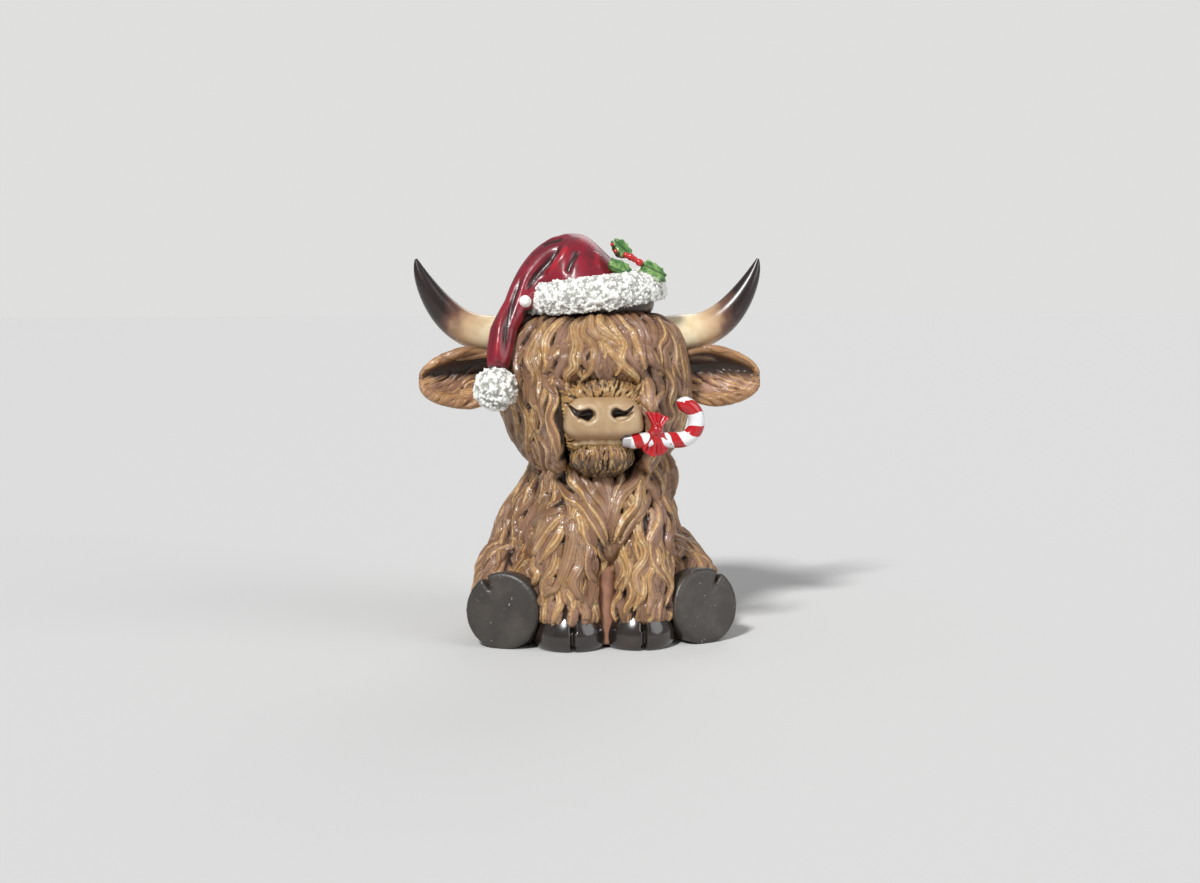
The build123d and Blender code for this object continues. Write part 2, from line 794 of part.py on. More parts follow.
# Hat trim: the bulging white band round the hat, a little higher on the right
lean = radians(trim_tilt)
trim_plane = Plane(
    (trim_shift, -crown_forward, trim_centre_height),
    x_dir=(cos(lean), 0, sin(lean)),
    z_dir=(-sin(lean), 0, cos(lean)),
)
with BuildPart() as hat_trim:
    for height, size in trim_section_shares:
        with BuildSketch(trim_plane.offset(trim_height * (height - 0.5))):
            Ellipse(trim_width * size / 2, trim_depth * size / 2)
    loft()
    with Locations((-paste_drop_side, -paste_drop_forward, paste_drop_height)):
        Sphere(paste_drop_radius)
    for neighbour in (hat, hair_shell):
        add(neighbour.part, mode=Mode.SUBTRACT)
    add(hat_trim.solids().sort_by(SortBy.VOLUME)[-1], mode=Mode.REPLACE)
hat_trim.part.label = "hat_trim"

# Pompom on the end of the hat's tail
with BuildPart() as pompom:
    with Locations((-pompom_side, -pompom_forward, pompom_height)):
        Sphere(pompom_radius)
    for neighbour in (hat, hair_shell, hat_trim):
        add(neighbour.part, mode=Mode.SUBTRACT)
pompom.part.label = "pompom"

# Holly: three spiked leaves on the trim, backed down to the hat as in the mould
facing = Vector(sprig_facing).normalized()
sprig_centre = Vector(sprig_side, -sprig_forward, sprig_height)
level = Vector(0, 0, 1).cross(facing).normalized()
upwards = facing.cross(level)
leaves = []
for number, (turn, length) in enumerate(leaf_turns_and_lengths, 1):
    heading = level * cos(radians(turn)) + upwards * sin(radians(turn))
    root = sprig_centre - heading * leaf_root_overlap
    with BuildPart() as leaf:
        with BuildSketch(Plane(root, x_dir=heading, z_dir=facing)):
            with BuildLine():
                corner = (0, 0)
                for along, out in (*leaf_spike_shares, (1.0, 0.0)):
                    spike = (length * along, leaf_width / 2 * out)
                    hollow = (
                        (corner[0] + spike[0]) / 2,
                        (corner[1] + spike[1]) / 2 * leaf_hollow_share,
                    )
                    if corner[1] == 0 or out == 0:
                        Line(corner, spike)
                    else:
                        ThreePointArc(corner, hollow, spike)
                    corner = spike
                mirror(about=Plane.XZ)
            make_face()
        outline = leaf.pending_faces[0]
        extrude(amount=leaf_thickness)
        extrude(outline, amount=-leaf_backing, taper=leaf_backing_taper)
        for neighbour in (hat, hat_trim, *leaves):
            add(neighbour.part, mode=Mode.SUBTRACT)
        add(leaf.solids().sort_by(SortBy.VOLUME)[-1], mode=Mode.REPLACE)
    leaf.part.label = f"holly_leaf_{number}"
    leaves.append(leaf)

# Berries: a cluster of beads where the leaves meet
with BuildPart() as berries:
    for across, up in berry_spot_shares:
        spot = sprig_centre + level * across * berry_radius + upwards * up * berry_radius
        with Locations(spot + facing * leaf_thickness):
            Sphere(berry_radius)
    for neighbour in (hat, hat_trim, *leaves):
        add(neighbour.part, mode=Mode.SUBTRACT)
berries.part.label = "holly_berries"

# Bow: a knotted ribbon seated on top of the cane, its folds fanning up and down
with BuildPart() as bow:
    knot_start = (bow_side - knot_length / 2, -cane_forward, cane_height + bow_rise)
    with BuildSketch(Plane(knot_start, x_dir=(0, 1, 0), z_dir=(1, 0, 0))):
        Circle(knot_radius)
    extrude(amount=knot_length)
    fillet(bow.faces().filter_by(GeomType.PLANE).edges(), knot_edge)
    for turn, reach in bow_fold_turns_and_length_shares:
        heading = Vector(sin(radians(turn)), 0, cos(radians(turn)))
        across = Vector(cos(radians(turn)), 0, -sin(radians(turn)))
        middle = Vector(bow_side, -bow_forward, cane_height + bow_rise)
        sections = []
        for along, width, thickness in bow_fold_shares:
            place = middle + heading * bow_fold_length * reach * along
            with BuildSketch(Plane(place, x_dir=across, z_dir=heading), mode=Mode.PRIVATE) as section:
                Ellipse(bow_fold_width * width / 2, bow_fold_thickness * thickness / 2)
            sections.append(section.sketch)
        loft(sections=sections)
    for neighbour in (candy_cane, nose_pad, snout, chin):
        add(neighbour.part, mode=Mode.SUBTRACT)
    add(bow.solids().sort_by(SortBy.VOLUME)[-1], mode=Mode.REPLACE)
bow.part.label = "bow"

pieces = [torso, back_hair, bib, tail, head, fringe, mane, snout, nose_pad, chin, candy_cane, bow]
pieces += [*front_legs, *front_hooves, *hind_hooves, *thighs, *horns, *ears]
pieces += [hat, hat_trim, pompom, *leaves, berries]
for piece in pieces:
    export_step(piece.part, f"parts/{piece.part.label}.step")
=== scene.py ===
"""Finishes the seated highland cow ornament: a cast resin cow, hand painted, in a floppy hat."""

import math
import random

import bmesh
import bpy
import numpy as np
from mathutils import Matrix, Vector, noise
from mathutils.bvhtree import BVHTree
from mathutils.kdtree import KDTree


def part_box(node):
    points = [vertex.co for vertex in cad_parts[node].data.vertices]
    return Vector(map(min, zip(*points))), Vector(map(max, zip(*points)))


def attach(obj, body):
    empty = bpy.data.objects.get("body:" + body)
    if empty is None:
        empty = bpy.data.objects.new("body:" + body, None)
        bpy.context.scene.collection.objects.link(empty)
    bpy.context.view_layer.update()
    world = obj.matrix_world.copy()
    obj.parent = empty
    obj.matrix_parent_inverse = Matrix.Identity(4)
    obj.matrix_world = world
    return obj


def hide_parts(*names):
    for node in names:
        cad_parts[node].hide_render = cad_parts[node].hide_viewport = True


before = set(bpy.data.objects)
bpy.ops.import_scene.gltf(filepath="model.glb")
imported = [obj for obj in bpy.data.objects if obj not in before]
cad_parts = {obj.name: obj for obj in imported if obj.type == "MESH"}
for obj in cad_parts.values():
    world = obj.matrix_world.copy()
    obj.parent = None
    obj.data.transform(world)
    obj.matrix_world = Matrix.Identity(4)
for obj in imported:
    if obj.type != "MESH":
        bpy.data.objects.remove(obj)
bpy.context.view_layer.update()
mm = 0.001


# The shaggy body is a solid resin casting: head, muzzle, chin, chest, legs and haunches.
# Each form is taken from its CAD solids, softened like clay, and made fine enough to carve.
form_cell, form_swell, form_rub = 1.5 * mm, 0.35 * mm, 10
shoulder_mass = ((17.0, -12.0, 60.0), (11.0, 13.0, 13.0))
neck_mass = ((0.0, -12.0, 58.0), (20.0, 16.0, 13.0))
muzzle_masses = (((-6.5, -35.4, 84.6), (9.4, 8.4, 9.2)), ((6.5, -35.4, 84.6), (9.4, 8.4, 9.2)))
head_masses = (((-17.0, -33.5, 82.0), (5.6, 11.0, 17.0)), ((17.0, -33.5, 82.0), (5.6, 11.0, 17.0)),
               ((0.0, -32.5, 103.5), (20.0, 9.6, 8.0)))
chin_masses = (((0.0, -38.2, 72.6), (11.0, 6.8, 5.0)), ((0.2, -33.0, 68.5), (9.5, 9.0, 7.0)))
# heights, and how far the jaw is pressed in and the flank swells out there
jaw_pinch = ((46, 56, 63, 72, 80, 88, 94), (0.0, 2.0, 3.2, 3.6, 3.4, 1.5, 0.0))
flank_swell = ((40, 52, 62, 70), (0.0, 2.0, 2.0, 0.0))
flank_from, flank_full = 12.0, 24.0


def cad_copy(nodes):
    """The CAD solids of some nodes in one bmesh, with their shared points joined."""
    shape = bmesh.new()
    for node in nodes:
        shape.from_mesh(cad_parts[node].data)
    bmesh.ops.remove_doubles(shape, verts=shape.verts, dist=0.002 * mm)
    return shape


def add_ball(shape, centre, radii):
    """Adds a lump of clay, given in millimetres."""
    place = Matrix.Translation(Vector(centre) * mm) @ Matrix.Diagonal((*[r * mm for r in radii], 1))
    bmesh.ops.create_icosphere(shape, subdivisions=4, radius=1.0, matrix=place)


def show(shape, name):
    mesh = bpy.data.meshes.new(name)
    shape.to_mesh(mesh)
    shape.free()
    piece = bpy.data.objects.new(name, mesh)
    bpy.context.scene.collection.objects.link(piece)
    return piece


def settle(piece):
    """Turns a piece's modifiers into its mesh."""
    evaluated = piece.evaluated_get(bpy.context.evaluated_depsgraph_get())
    baked = bpy.data.meshes.new_from_object(evaluated)
    piece.modifiers.clear()
    piece.data = baked
    return piece


def soften(shape, name, cell, rounds, swell, levels):
    """Melts a shape into one closed skin, rubs it smooth, swells it a little and refines it."""
    piece = show(shape, name)
    cells = piece.modifiers.new("cells", "REMESH")
    cells.mode, cells.voxel_size = "VOXEL", cell
    rub = piece.modifiers.new("rub", "SMOOTH")
    rub.factor, rub.iterations = 0.5, rounds
    grow = piece.modifiers.new("grow", "DISPLACE")
    grow.mid_level, grow.strength = 0.0, swell
    finer = piece.modifiers.new("finer", "SUBSURF")
    finer.levels = finer.render_levels = levels
    return settle(piece)


def three_each(items, name):
    data = np.empty(len(items) * 3)
    items.foreach_get(name, data)
    return data.reshape(-1, 3)


def vertex_data(mesh, name):
    return three_each(mesh.vertices, name)


def reshape(piece, points):
    piece.data.vertices.foreach_set("co", (points * mm).astype(np.float32).ravel())
    piece.data.update()


def pinch(piece):
    """Presses the jaw and shoulder in on one side and eases the flank out on the other."""
    points = vertex_data(piece.data, "co") / mm
    side, height = points[:, 0].copy(), points[:, 2]
    width = flank_full - flank_from
    points[:, 0] += np.interp(height, *jaw_pinch) * np.clip((-side - flank_from) / width, 0, 1)
    points[:, 0] += np.interp(height, *flank_swell) * np.clip((side - flank_from) / width, 0, 1)
    reshape(piece, points)
    return piece


def tree_of(piece):
    return BVHTree.FromObject(piece, bpy.context.evaluated_depsgraph_get())


hair_nodes = ("torso", "head", "snout", "chin", "bib", "front_leg_left", "front_leg_right",
              "thigh_left", "thigh_right")
guide_shape = cad_copy(hair_nodes)
for mass in (shoulder_mass, neck_mass, *muzzle_masses, *head_masses, *chin_masses):
    add_ball(guide_shape, *mass)
guide_form = pinch(soften(guide_shape, "guide_form", form_cell, form_rub, form_swell, levels=1))
guide = tree_of(guide_form)
guide_centres = three_each(guide_form.data.polygons, "center") / mm
guide_normals = three_each(guide_form.data.polygons, "normal")
bpy.data.objects.remove(guide_form)


# The coat is carved in wavy locks, each with a few strands that run together at its tip.
# The locks of the fringe, chest and legs lie where the real ones do, as the camera sees them,
# so its place comes first. The other locks fall freely.
camera_target = Vector((4.0, 0.0, 71.5)) * mm
camera_reach = 690.0 * mm
camera_azimuth = math.radians(-7.0)
camera_elevation = math.radians(6.3)
camera_back = Vector((math.sin(camera_azimuth) * math.cos(camera_elevation),
                      -math.cos(camera_azimuth) * math.cos(camera_elevation),
                      math.sin(camera_elevation)))
camera_place = camera_target + camera_back * camera_reach
sight_plane = -38.0 * mm
path_step = 0.8
# shares of a lock's length, and its width and its rise there
lock_shape = ((0.0, 0.14, 0.38, 0.66, 0.86, 1.0), (0.42, 0.80, 1.0, 0.86, 0.52, 0.05))
lock_lift = ((0.0, 0.18, 0.5, 0.84, 0.96, 1.0), (0.10, 0.60, 0.94, 1.0, 0.84, 0.55))
lock_grip, lock_roundness = 3.6, 0.65
strand_roundness, strand_level = 0.6, 0.75
strand_wander, wander_waves = 0.10, 1.3
shallow_groove, deep_groove, groove_reach = 0.42, 0.58, 1.35
gold_gain, gold_sharpness = 1.15, 2.5
bare_groove, bare_tint, own_tint, tallest_lock, hairline_shift = 0.8, 0.5, 0.6, 2.0, 0.37
coat_seed = random.Random(7)


def seen(x, z, surface=None):
    """The point on the surface that the camera sees through (x, z) on the sight plane."""
    aim = Vector((x * mm, sight_plane, z * mm)) - camera_place
    return (surface or guide).ray_cast(camera_place, aim.normalized())[0]


def through(points, surface=None):
    """A smooth run of points through the given ones, laid on the surface."""
    found = [p for p in (seen(x, z, surface) for x, z in points) if p is not None]
    if len(found) < 2:
        return []
    knots = [found[0] * 2 - found[1], *found, found[-1] * 2 - found[-2]]
    run = []
    for a, b, c, d in zip(knots, knots[1:], knots[2:], knots[3:]):
        parts = max(2, int((c - b).length / (path_step * mm)))
        for i in range(parts):
            t = i / parts
            run.append(0.5 * (2 * b + (c - a) * t + (2 * a - 5 * b + 4 * c - d) * t * t
                              + (3 * b - a - 3 * c + d) * t ** 3))
    return run + [found[-1]]


def fall(start, length, sway, turns, phase, pull, surface=None):
    """A run of points that flows over the surface along the pull, swaying from side to side."""
    place, normal, *_ = (surface or guide).find_nearest(start)
    run = [place]
    steps = max(3, int(length / path_step))
    for i in range(steps):
        ahead = pull(place) - normal * pull(place).dot(normal)
        if ahead.length < 0.15:
            break
        ahead.normalize()
        swing = sway * math.cos(2 * math.pi * turns * i / steps + phase)
        heading = (ahead + normal.cross(ahead) * swing).normalized()
        place, normal, *_ = (surface or guide).find_nearest(place + heading * path_step * mm)
        run.append(place)
    return run


class Lock:
    """One lock of the coat: a line on the surface with a width, a rise and a few strands."""

    def __init__(self, run, width, rise, strands, gold, comb, surface=None):
        laid = [(surface or guide).find_nearest(p) for p in run]
        place = np.array([hit[0] for hit in laid]) / mm
        facing = np.array([hit[1] for hit in laid])
        gaps = np.linalg.norm(np.diff(place, axis=0), axis=1)
        travel = np.concatenate(([0], np.cumsum(gaps)))
        self.length = travel[-1]
        count = max(4, int(self.length / path_step) + 1)
        even = np.linspace(0, self.length, count)
        self.place = np.stack([np.interp(even, travel, place[:, k]) for k in range(3)], 1)
        facing = np.stack([np.interp(even, travel, facing[:, k]) for k in range(3)], 1)
        for _ in range(3):
            facing[1:-1] = (facing[:-2] + facing[1:-1] * 2 + facing[2:]) / 4
        self.facing = facing / np.linalg.norm(facing, axis=1, keepdims=True)
        along = np.gradient(self.place, axis=0)
        along -= self.facing * (along * self.facing).sum(1, keepdims=True)
        self.along = along / np.maximum(np.linalg.norm(along, axis=1, keepdims=True), 1e-6)
        self.across = np.cross(self.facing, self.along)
        self.width, self.rise, self.strands, self.gold, self.comb = width, rise, strands, gold, comb
        self.phase = coat_seed.random()
        self.tint = coat_seed.random()


def carve(piece, locks, hollow=0.7):
    """Raises the locks on a piece and stores what its paint needs: relief, groove, gold, tint."""
    mesh = piece.data
    points = vertex_data(mesh, "co") / mm
    normals = vertex_data(mesh, "normal")
    count = len(points)
    best = np.full(count, -hollow)
    groove = np.full(count, bare_groove)
    gold = np.zeros(count)
    tint = np.full(count, bare_tint)
    hairline = points[:, 0] * 1.0
    for number, lock in enumerate(locks):
        reach = lock.width / 2 + 1.0
        low, high = lock.place.min(0) - reach, lock.place.max(0) + reach
        near = np.nonzero(((points > low) & (points < high)).all(1))[0]
        if not len(near):
            continue
        spread = ((points[near, None, :] - lock.place[None]) ** 2).sum(2)
        closest = spread.argmin(1)
        offset = points[near] - lock.place[closest]
        ahead = (offset * lock.along[closest]).sum(1)
        side = (offset * lock.across[closest]).sum(1)
        above = (offset * lock.facing[closest]).sum(1)
        agree = (normals[near] * lock.facing[closest]).sum(1)
        share = (closest * lock.length / (len(lock.place) - 1) + ahead) / lock.length
        half = lock.width / 2 * np.interp(share, *lock_shape)
        q = side / half
        keep = ((np.abs(q) < 1) & (share > -0.02) & (share < 1.01)
                & (np.abs(above) < lock_grip) & (agree > 0.1))
        near, share, q, side = near[keep], share[keep], q[keep], side[keep]
        if not len(near):
            continue
        lift = lock.rise * np.interp(share, *lock_lift)
        body = lift * (1 - q * q) ** lock_roundness
        sway = np.sin(2 * np.pi * (wander_waves * share + lock.phase))
        wander = q + strand_wander * sway * (1 - q * q)
        turn = (wander * 0.5 + 0.5) * lock.strands
        ridge = np.abs(np.sin(np.pi * turn)) ** strand_roundness
        edge = np.clip(body / max(lock.rise * 0.5, 1e-6), 0, 1)
        total = body + lock.comb * (ridge - strand_level) * edge
        better = total > best[near]
        near, total, ridge, turn = near[better], total[better], ridge[better], turn[better]
        body, share, q, side = body[better], share[better], q[better], side[better]
        best[near] = total
        groove[near] = 1 - (shallow_groove + deep_groove * ridge) * np.clip(
            body / lock.rise * groove_reach, 0, 1)
        strand = np.floor(turn)
        chance = np.modf(np.abs(np.sin((number * 7.31 + strand * 3.17 + 1.7)) * 43.7))[0]
        golden = np.clip((lock.gold * gold_gain - chance) * gold_sharpness, 0, 1)
        golden = golden * np.clip(share * 5, 0.35, 1)
        gold[near] = golden * np.clip(ridge * 1.6 - 0.5, 0, 1) * (1 - 0.6 * q * q)
        tint[near] = own_tint * lock.tint + (1 - own_tint) * chance
        hairline[near] = side + number * hairline_shift
    moved = points + normals * best[:, None]
    mesh.vertices.foreach_set("co", (moved * mm).astype(np.float32).ravel())
    height = np.clip((best + hollow) / (hollow + tallest_lock), 0, 1)
    for name, values in (("relief", height), ("groove", groove), ("gold", gold), ("tint", tint),
                         ("hairline", hairline)):
        layer = mesh.attributes.new(name, "FLOAT", "POINT")
        layer.data.foreach_set("value", values.astype(np.float32))
    mesh.update()
    return piece


fringe_traced = (
    # width, rise, gold, then (x, z) from root to tip as the camera sees them
    (4.6, 1.9, 0.35, (-20.6, 120.5), (-26.6, 115.8), (-30.5, 110.1), (-30.7, 104.6), (-29.4, 100.2),
     (-28.8, 93.8)),
    (4.4, 1.9, 0.50, (-17.6, 120.6), (-22.7, 114.1), (-26.2, 106.2), (-25.5, 103.1), (-24.0, 99.6),
     (-24.6, 94.9)),
    (4.2, 1.7, 0.30, (-18.2, 119.4), (-22.6, 113.0), (-24.0, 106.9), (-22.7, 102.4), (-21.8, 98.0),
     (-21.3, 90.6)),
    (4.8, 2.1, 0.75, (-12.0, 121.1), (-16.3, 117.4), (-19.2, 113.9), (-20.1, 109.4), (-18.7, 104.2),
     (-19.6, 100.2)),
    (4.2, 1.9, 0.55, (-10.9, 120.2), (-14.6, 114.1), (-16.3, 109.2), (-18.3, 104.6), (-19.6, 100.2),
     (-19.6, 96.9), (-18.1, 93.7), (-15.7, 91.9)),
    (4.2, 1.8, 0.45, (-11.5, 118.3), (-14.3, 111.4), (-13.0, 107.9), (-13.5, 104.6), (-15.2, 101.3),
     (-15.7, 98.0), (-14.3, 95.2), (-13.0, 93.2)),
    (4.6, 2.2, 0.80, (-6.8, 120.9), (-10.4, 116.7), (-10.2, 112.8), (-9.3, 109.0), (-10.2, 105.1),
     (-9.8, 102.9), (-12.2, 100.9), (-12.6, 98.5), (-11.9, 95.2), (-12.4, 92.9)),
    (3.8, 1.8, 0.40, (-6.6, 119.9), (-9.0, 115.0), (-7.8, 109.2), (-8.7, 104.6), (-8.7, 100.3)),
    (4.2, 2.1, 0.75, (-4.5, 121.5), (-6.7, 114.5), (-4.3, 111.0), (-2.5, 107.9), (-3.0, 104.4),
     (-4.3, 101.3), (-6.5, 99.6), (-8.9, 97.6)),
    (4.0, 2.2, 0.80, (-3.7, 122.1), (-3.8, 116.7), (-2.1, 113.4), (1.5, 110.8), (5.0, 109.0),
     (7.0, 107.5)),
    (4.4, 2.2, 0.85, (-0.3, 122.1), (-1.1, 117.8), (0.4, 115.6), (3.1, 113.0), (5.3, 110.6),
     (6.6, 107.4)),
    (3.8, 1.9, 0.60, (-1.4, 112.6), (2.4, 108.4), (4.8, 106.0), (6.3, 103.5), (5.7, 101.3),
     (4.0, 99.6)),
    (3.4, 1.7, 0.35, (-2.0, 112.7), (-1.7, 104.6), (-2.0, 101.3), (0.4, 97.9)),
    (3.2, 1.6, 0.35, (-1.7, 108.7), (0.9, 102.4), (1.8, 99.8), (3.9, 97.2)),
    (3.2, 1.6, 0.45, (1.0, 108.3), (3.1, 102.2), (2.8, 99.6), (4.9, 97.4)),
    (4.4, 2.1, 0.70, (0.3, 121.9), (4.2, 116.1), (6.3, 112.8), (8.1, 109.2), (6.8, 105.7),
     (7.4, 103.1), (9.8, 101.3), (12.0, 99.6), (13.1, 96.9), (12.9, 95.0), (11.4, 93.0)),
    (4.0, 1.8, 0.45, (1.6, 122.4), (6.3, 116.9), (8.3, 114.1), (9.0, 110.1), (9.4, 106.6),
     (11.2, 104.0), (13.3, 101.3), (14.4, 98.6)),
    (4.2, 2.0, 0.65, (3.0, 122.6), (8.5, 116.9), (10.9, 114.5), (11.8, 111.0), (12.9, 107.9),
     (14.2, 104.4), (15.3, 101.2)),
    (3.8, 1.8, 0.40, (5.3, 122.7), (11.2, 118.2), (13.8, 114.5), (14.0, 111.0), (14.4, 107.5),
     (15.2, 103.0)),
    (4.4, 2.1, 0.70, (7.2, 123.3), (12.9, 118.7), (15.5, 114.5), (16.2, 111.0), (16.2, 107.9),
     (17.3, 104.6), (19.0, 102.2), (21.8, 100.3)),
    (4.0, 1.9, 0.50, (9.6, 122.9), (15.5, 120.0), (17.7, 117.2), (18.4, 114.1), (17.9, 110.8),
     (16.4, 107.0)),
    (4.2, 1.8, 0.50, (17.9, 121.3), (22.3, 113.9), (20.1, 110.1), (20.3, 106.8), (20.9, 102.0)),
    (4.2, 1.8, 0.60, (20.0, 119.6), (23.6, 111.0), (21.9, 107.9), (21.9, 104.4), (23.2, 99.9)),
    (4.4, 1.9, 0.45, (20.8, 118.6), (25.4, 111.0), (26.0, 106.8), (25.8, 102.4), (27.6, 97.7)),
    (4.6, 1.9, 0.50, (24.2, 114.6), (30.0, 106.6), (31.3, 103.5), (30.8, 100.2), (28.6, 95.9)),
    (4.2, 1.9, 0.45, (15.4, 107.5), (18.4, 100.2), (20.6, 96.9), (20.8, 93.7), (19.9, 90.7),
     (18.8, 85.7)),
    (3.8, 1.8, 0.55, (15.6, 103.1), (14.4, 95.8), (14.9, 92.6), (17.6, 86.0)),
    (4.2, 1.6, 0.50, (16.4, 101.0), (17.2, 95.0), (17.6, 90.0), (18.2, 84.0)),
    (4.0, 1.9, 0.50, (17.5, 110.5), (22.5, 102.5), (25.0, 96.0), (23.5, 90.0), (24.5, 84.0),
     (22.0, 78.0)),
    (4.2, 1.8, 0.40, (24.0, 106.5), (29.5, 98.0), (27.5, 91.0), (29.5, 84.5), (27.0, 77.0)),
    (4.4, 1.9, 0.45, (-32.2, 108.2), (-31.7, 96.2), (-28.3, 86.3), (-31.2, 77.3), (-26.3, 66.4)),
    (4.2, 1.9, 0.60, (-28.2, 104.2), (-29.7, 92.2), (-26.3, 82.3), (-29.2, 73.3), (-24.3, 64.4)),
    (4.4, 2.0, 0.65, (-23.8, 100.2), (-24.8, 90.2), (-20.3, 83.3), (-21.3, 78.3), (-18.3, 73.3),
     (-17.0, 63.4)),
    (4.0, 1.9, 0.50, (-18.8, 98.2), (-17.4, 91.2), (-18.4, 84.3), (-16.4, 77.3), (-15.4, 70.3)),
    (4.0, 1.8, 0.45, (-24.8, 82.3), (-21.3, 72.3), (-25.8, 66.4), (-21.8, 60.4)),
    (4.0, 1.8, 0.55, (-28.6, 88.0), (-25.0, 80.0), (-27.5, 73.0), (-23.0, 66.0), (-25.5, 60.5)),
    (3.8, 1.8, 0.50, (20.5, 90.0), (17.5, 83.5), (19.5, 76.0), (16.5, 69.0), (18.5, 62.0)),
    (4.2, 1.8, 0.40, (25.0, 90.0), (23.0, 81.0), (25.5, 72.0), (22.0, 64.0), (24.5, 55.5)),
    (4.2, 1.8, 0.35, (31.0, 92.0), (30.0, 83.0), (32.0, 74.0), (29.0, 66.0), (31.0, 56.0)),
)
chest_traced = (
    (5.0, 1.8, 0.45, (-17.4, 70.4), (-10.2, 61.1), (-3.2, 52.1), (0.7, 44.3), (2.2, 37.7)),
    (4.2, 1.7, 0.55, (-16.5, 62.0), (-13.1, 56.8), (-6.5, 50.9), (-1.2, 42.9), (1.8, 36.0)),
    (4.4, 1.7, 0.45, (-9.8, 66.0), (-4.0, 58.0), (0.5, 51.0), (2.5, 45.0)),
    (4.0, 1.6, 0.35, (-3.5, 64.5), (0.0, 57.0), (2.0, 49.0)),
    (4.4, 1.5, 0.30, (0.5, 67.0), (1.5, 60.0), (2.0, 53.0), (2.4, 46.0)),
    (4.0, 1.4, 0.40, (4.0, 66.0), (3.0, 59.0), (2.6, 51.0), (2.4, 42.0)),
    (4.0, 1.6, 0.35, (8.5, 64.5), (5.0, 57.0), (3.0, 49.0)),
    (5.0, 1.9, 0.55, (17.0, 71.0), (12.5, 62.4), (6.9, 55.4), (4.2, 47.6), (3.3, 38.7)),
    (4.4, 1.8, 0.75, (16.0, 65.4), (13.8, 59.4), (12.5, 52.2), (7.3, 46.2), (3.6, 38.0)),
    (4.2, 1.7, 0.65, (18.2, 57.9), (14.9, 50.3), (9.5, 43.3), (5.0, 36.8)),
    (4.6, 1.8, 0.65, (-11.0, 53.9), (-16.5, 50.0), (-21.6, 48.2), (-26.5, 42.9)),
    (4.6, 1.8, 0.70, (-11.7, 50.6), (-20.3, 42.6), (-23.4, 33.7)),
    (4.4, 1.8, 0.60, (-13.0, 47.9), (-17.0, 39.3), (-22.1, 31.1)),
    (5.0, 1.9, 0.75, (-10.9, 52.5), (-11.1, 41.0), (-12.4, 33.0), (-15.4, 24.1), (-20.6, 18.0)),
    (4.6, 1.8, 0.70, (-9.6, 51.9), (-5.8, 41.6), (-2.6, 33.4)),
    (4.4, 1.7, 0.60, (-7.5, 46.0), (-4.5, 38.0), (-5.5, 30.0), (-2.5, 22.0)),
    (4.4, 1.8, 0.65, (-9.5, 40.5), (-8.0, 32.0), (-10.5, 24.0), (-7.5, 16.0)),
    (4.4, 1.8, 0.60, (-16.5, 38.0), (-17.5, 30.0), (-21.0, 23.5), (-19.5, 15.0)),
    (4.2, 1.8, 0.65, (-20.5, 45.0), (-24.0, 36.0), (-23.0, 28.0), (-25.5, 19.5)),
    (4.2, 1.8, 0.60, (-12.0, 31.0), (-14.5, 24.0), (-12.5, 15.5)),
    (4.0, 1.7, 0.60, (-5.5, 30.5), (-3.5, 23.0), (-5.5, 14.5)),
    (4.0, 1.8, 0.65, (-22.0, 28.5), (-20.0, 21.5), (-22.5, 13.5)),
    (4.0, 1.8, 0.65, (-16.5, 25.0), (-15.0, 18.0), (-17.0, 12.5)),
    (4.0, 1.8, 0.65, (-9.5, 24.0), (-7.5, 17.5), (-9.5, 12.0)),
    (4.6, 1.8, 0.60, (19.5, 56.0), (21.0, 47.0), (17.5, 38.0), (19.5, 29.0), (24.5, 21.0)),
    (4.6, 1.8, 0.55, (24.5, 57.0), (27.0, 47.0), (24.0, 38.0), (26.5, 29.0)),
    (4.6, 1.8, 0.70, (14.5, 50.0), (13.5, 42.0), (16.0, 34.0), (12.5, 26.0), (14.5, 17.0)),
    (4.2, 1.8, 0.65, (10.0, 44.5), (8.0, 36.0), (10.5, 28.0), (7.5, 20.0)),
    (4.2, 1.8, 0.65, (18.5, 40.0), (20.5, 32.5), (17.0, 25.0), (19.5, 15.5)),
    (4.2, 1.8, 0.60, (23.0, 38.0), (21.5, 30.0), (24.5, 22.5), (22.0, 14.5)),
    (4.0, 1.8, 0.65, (13.0, 30.0), (15.5, 22.5), (12.0, 13.5)),
    (4.0, 1.8, 0.60, (9.0, 27.0), (11.0, 20.0), (8.5, 13.0)),
    (4.0, 1.8, 0.60, (16.5, 26.0), (18.5, 19.5), (16.0, 12.5)),
    (4.0, 1.8, 0.60, (25.5, 27.0), (26.5, 20.0), (24.5, 13.5)),
)
traced_width, traced_rise, coat_strands, coat_comb = 1.05, 1.3, 4, 0.42
coat_locks = [Lock(through(points), width * traced_width, rise * traced_rise, coat_strands, gold, coat_comb)
              for width, rise, gold, *points in fringe_traced + chest_traced if through(points)]


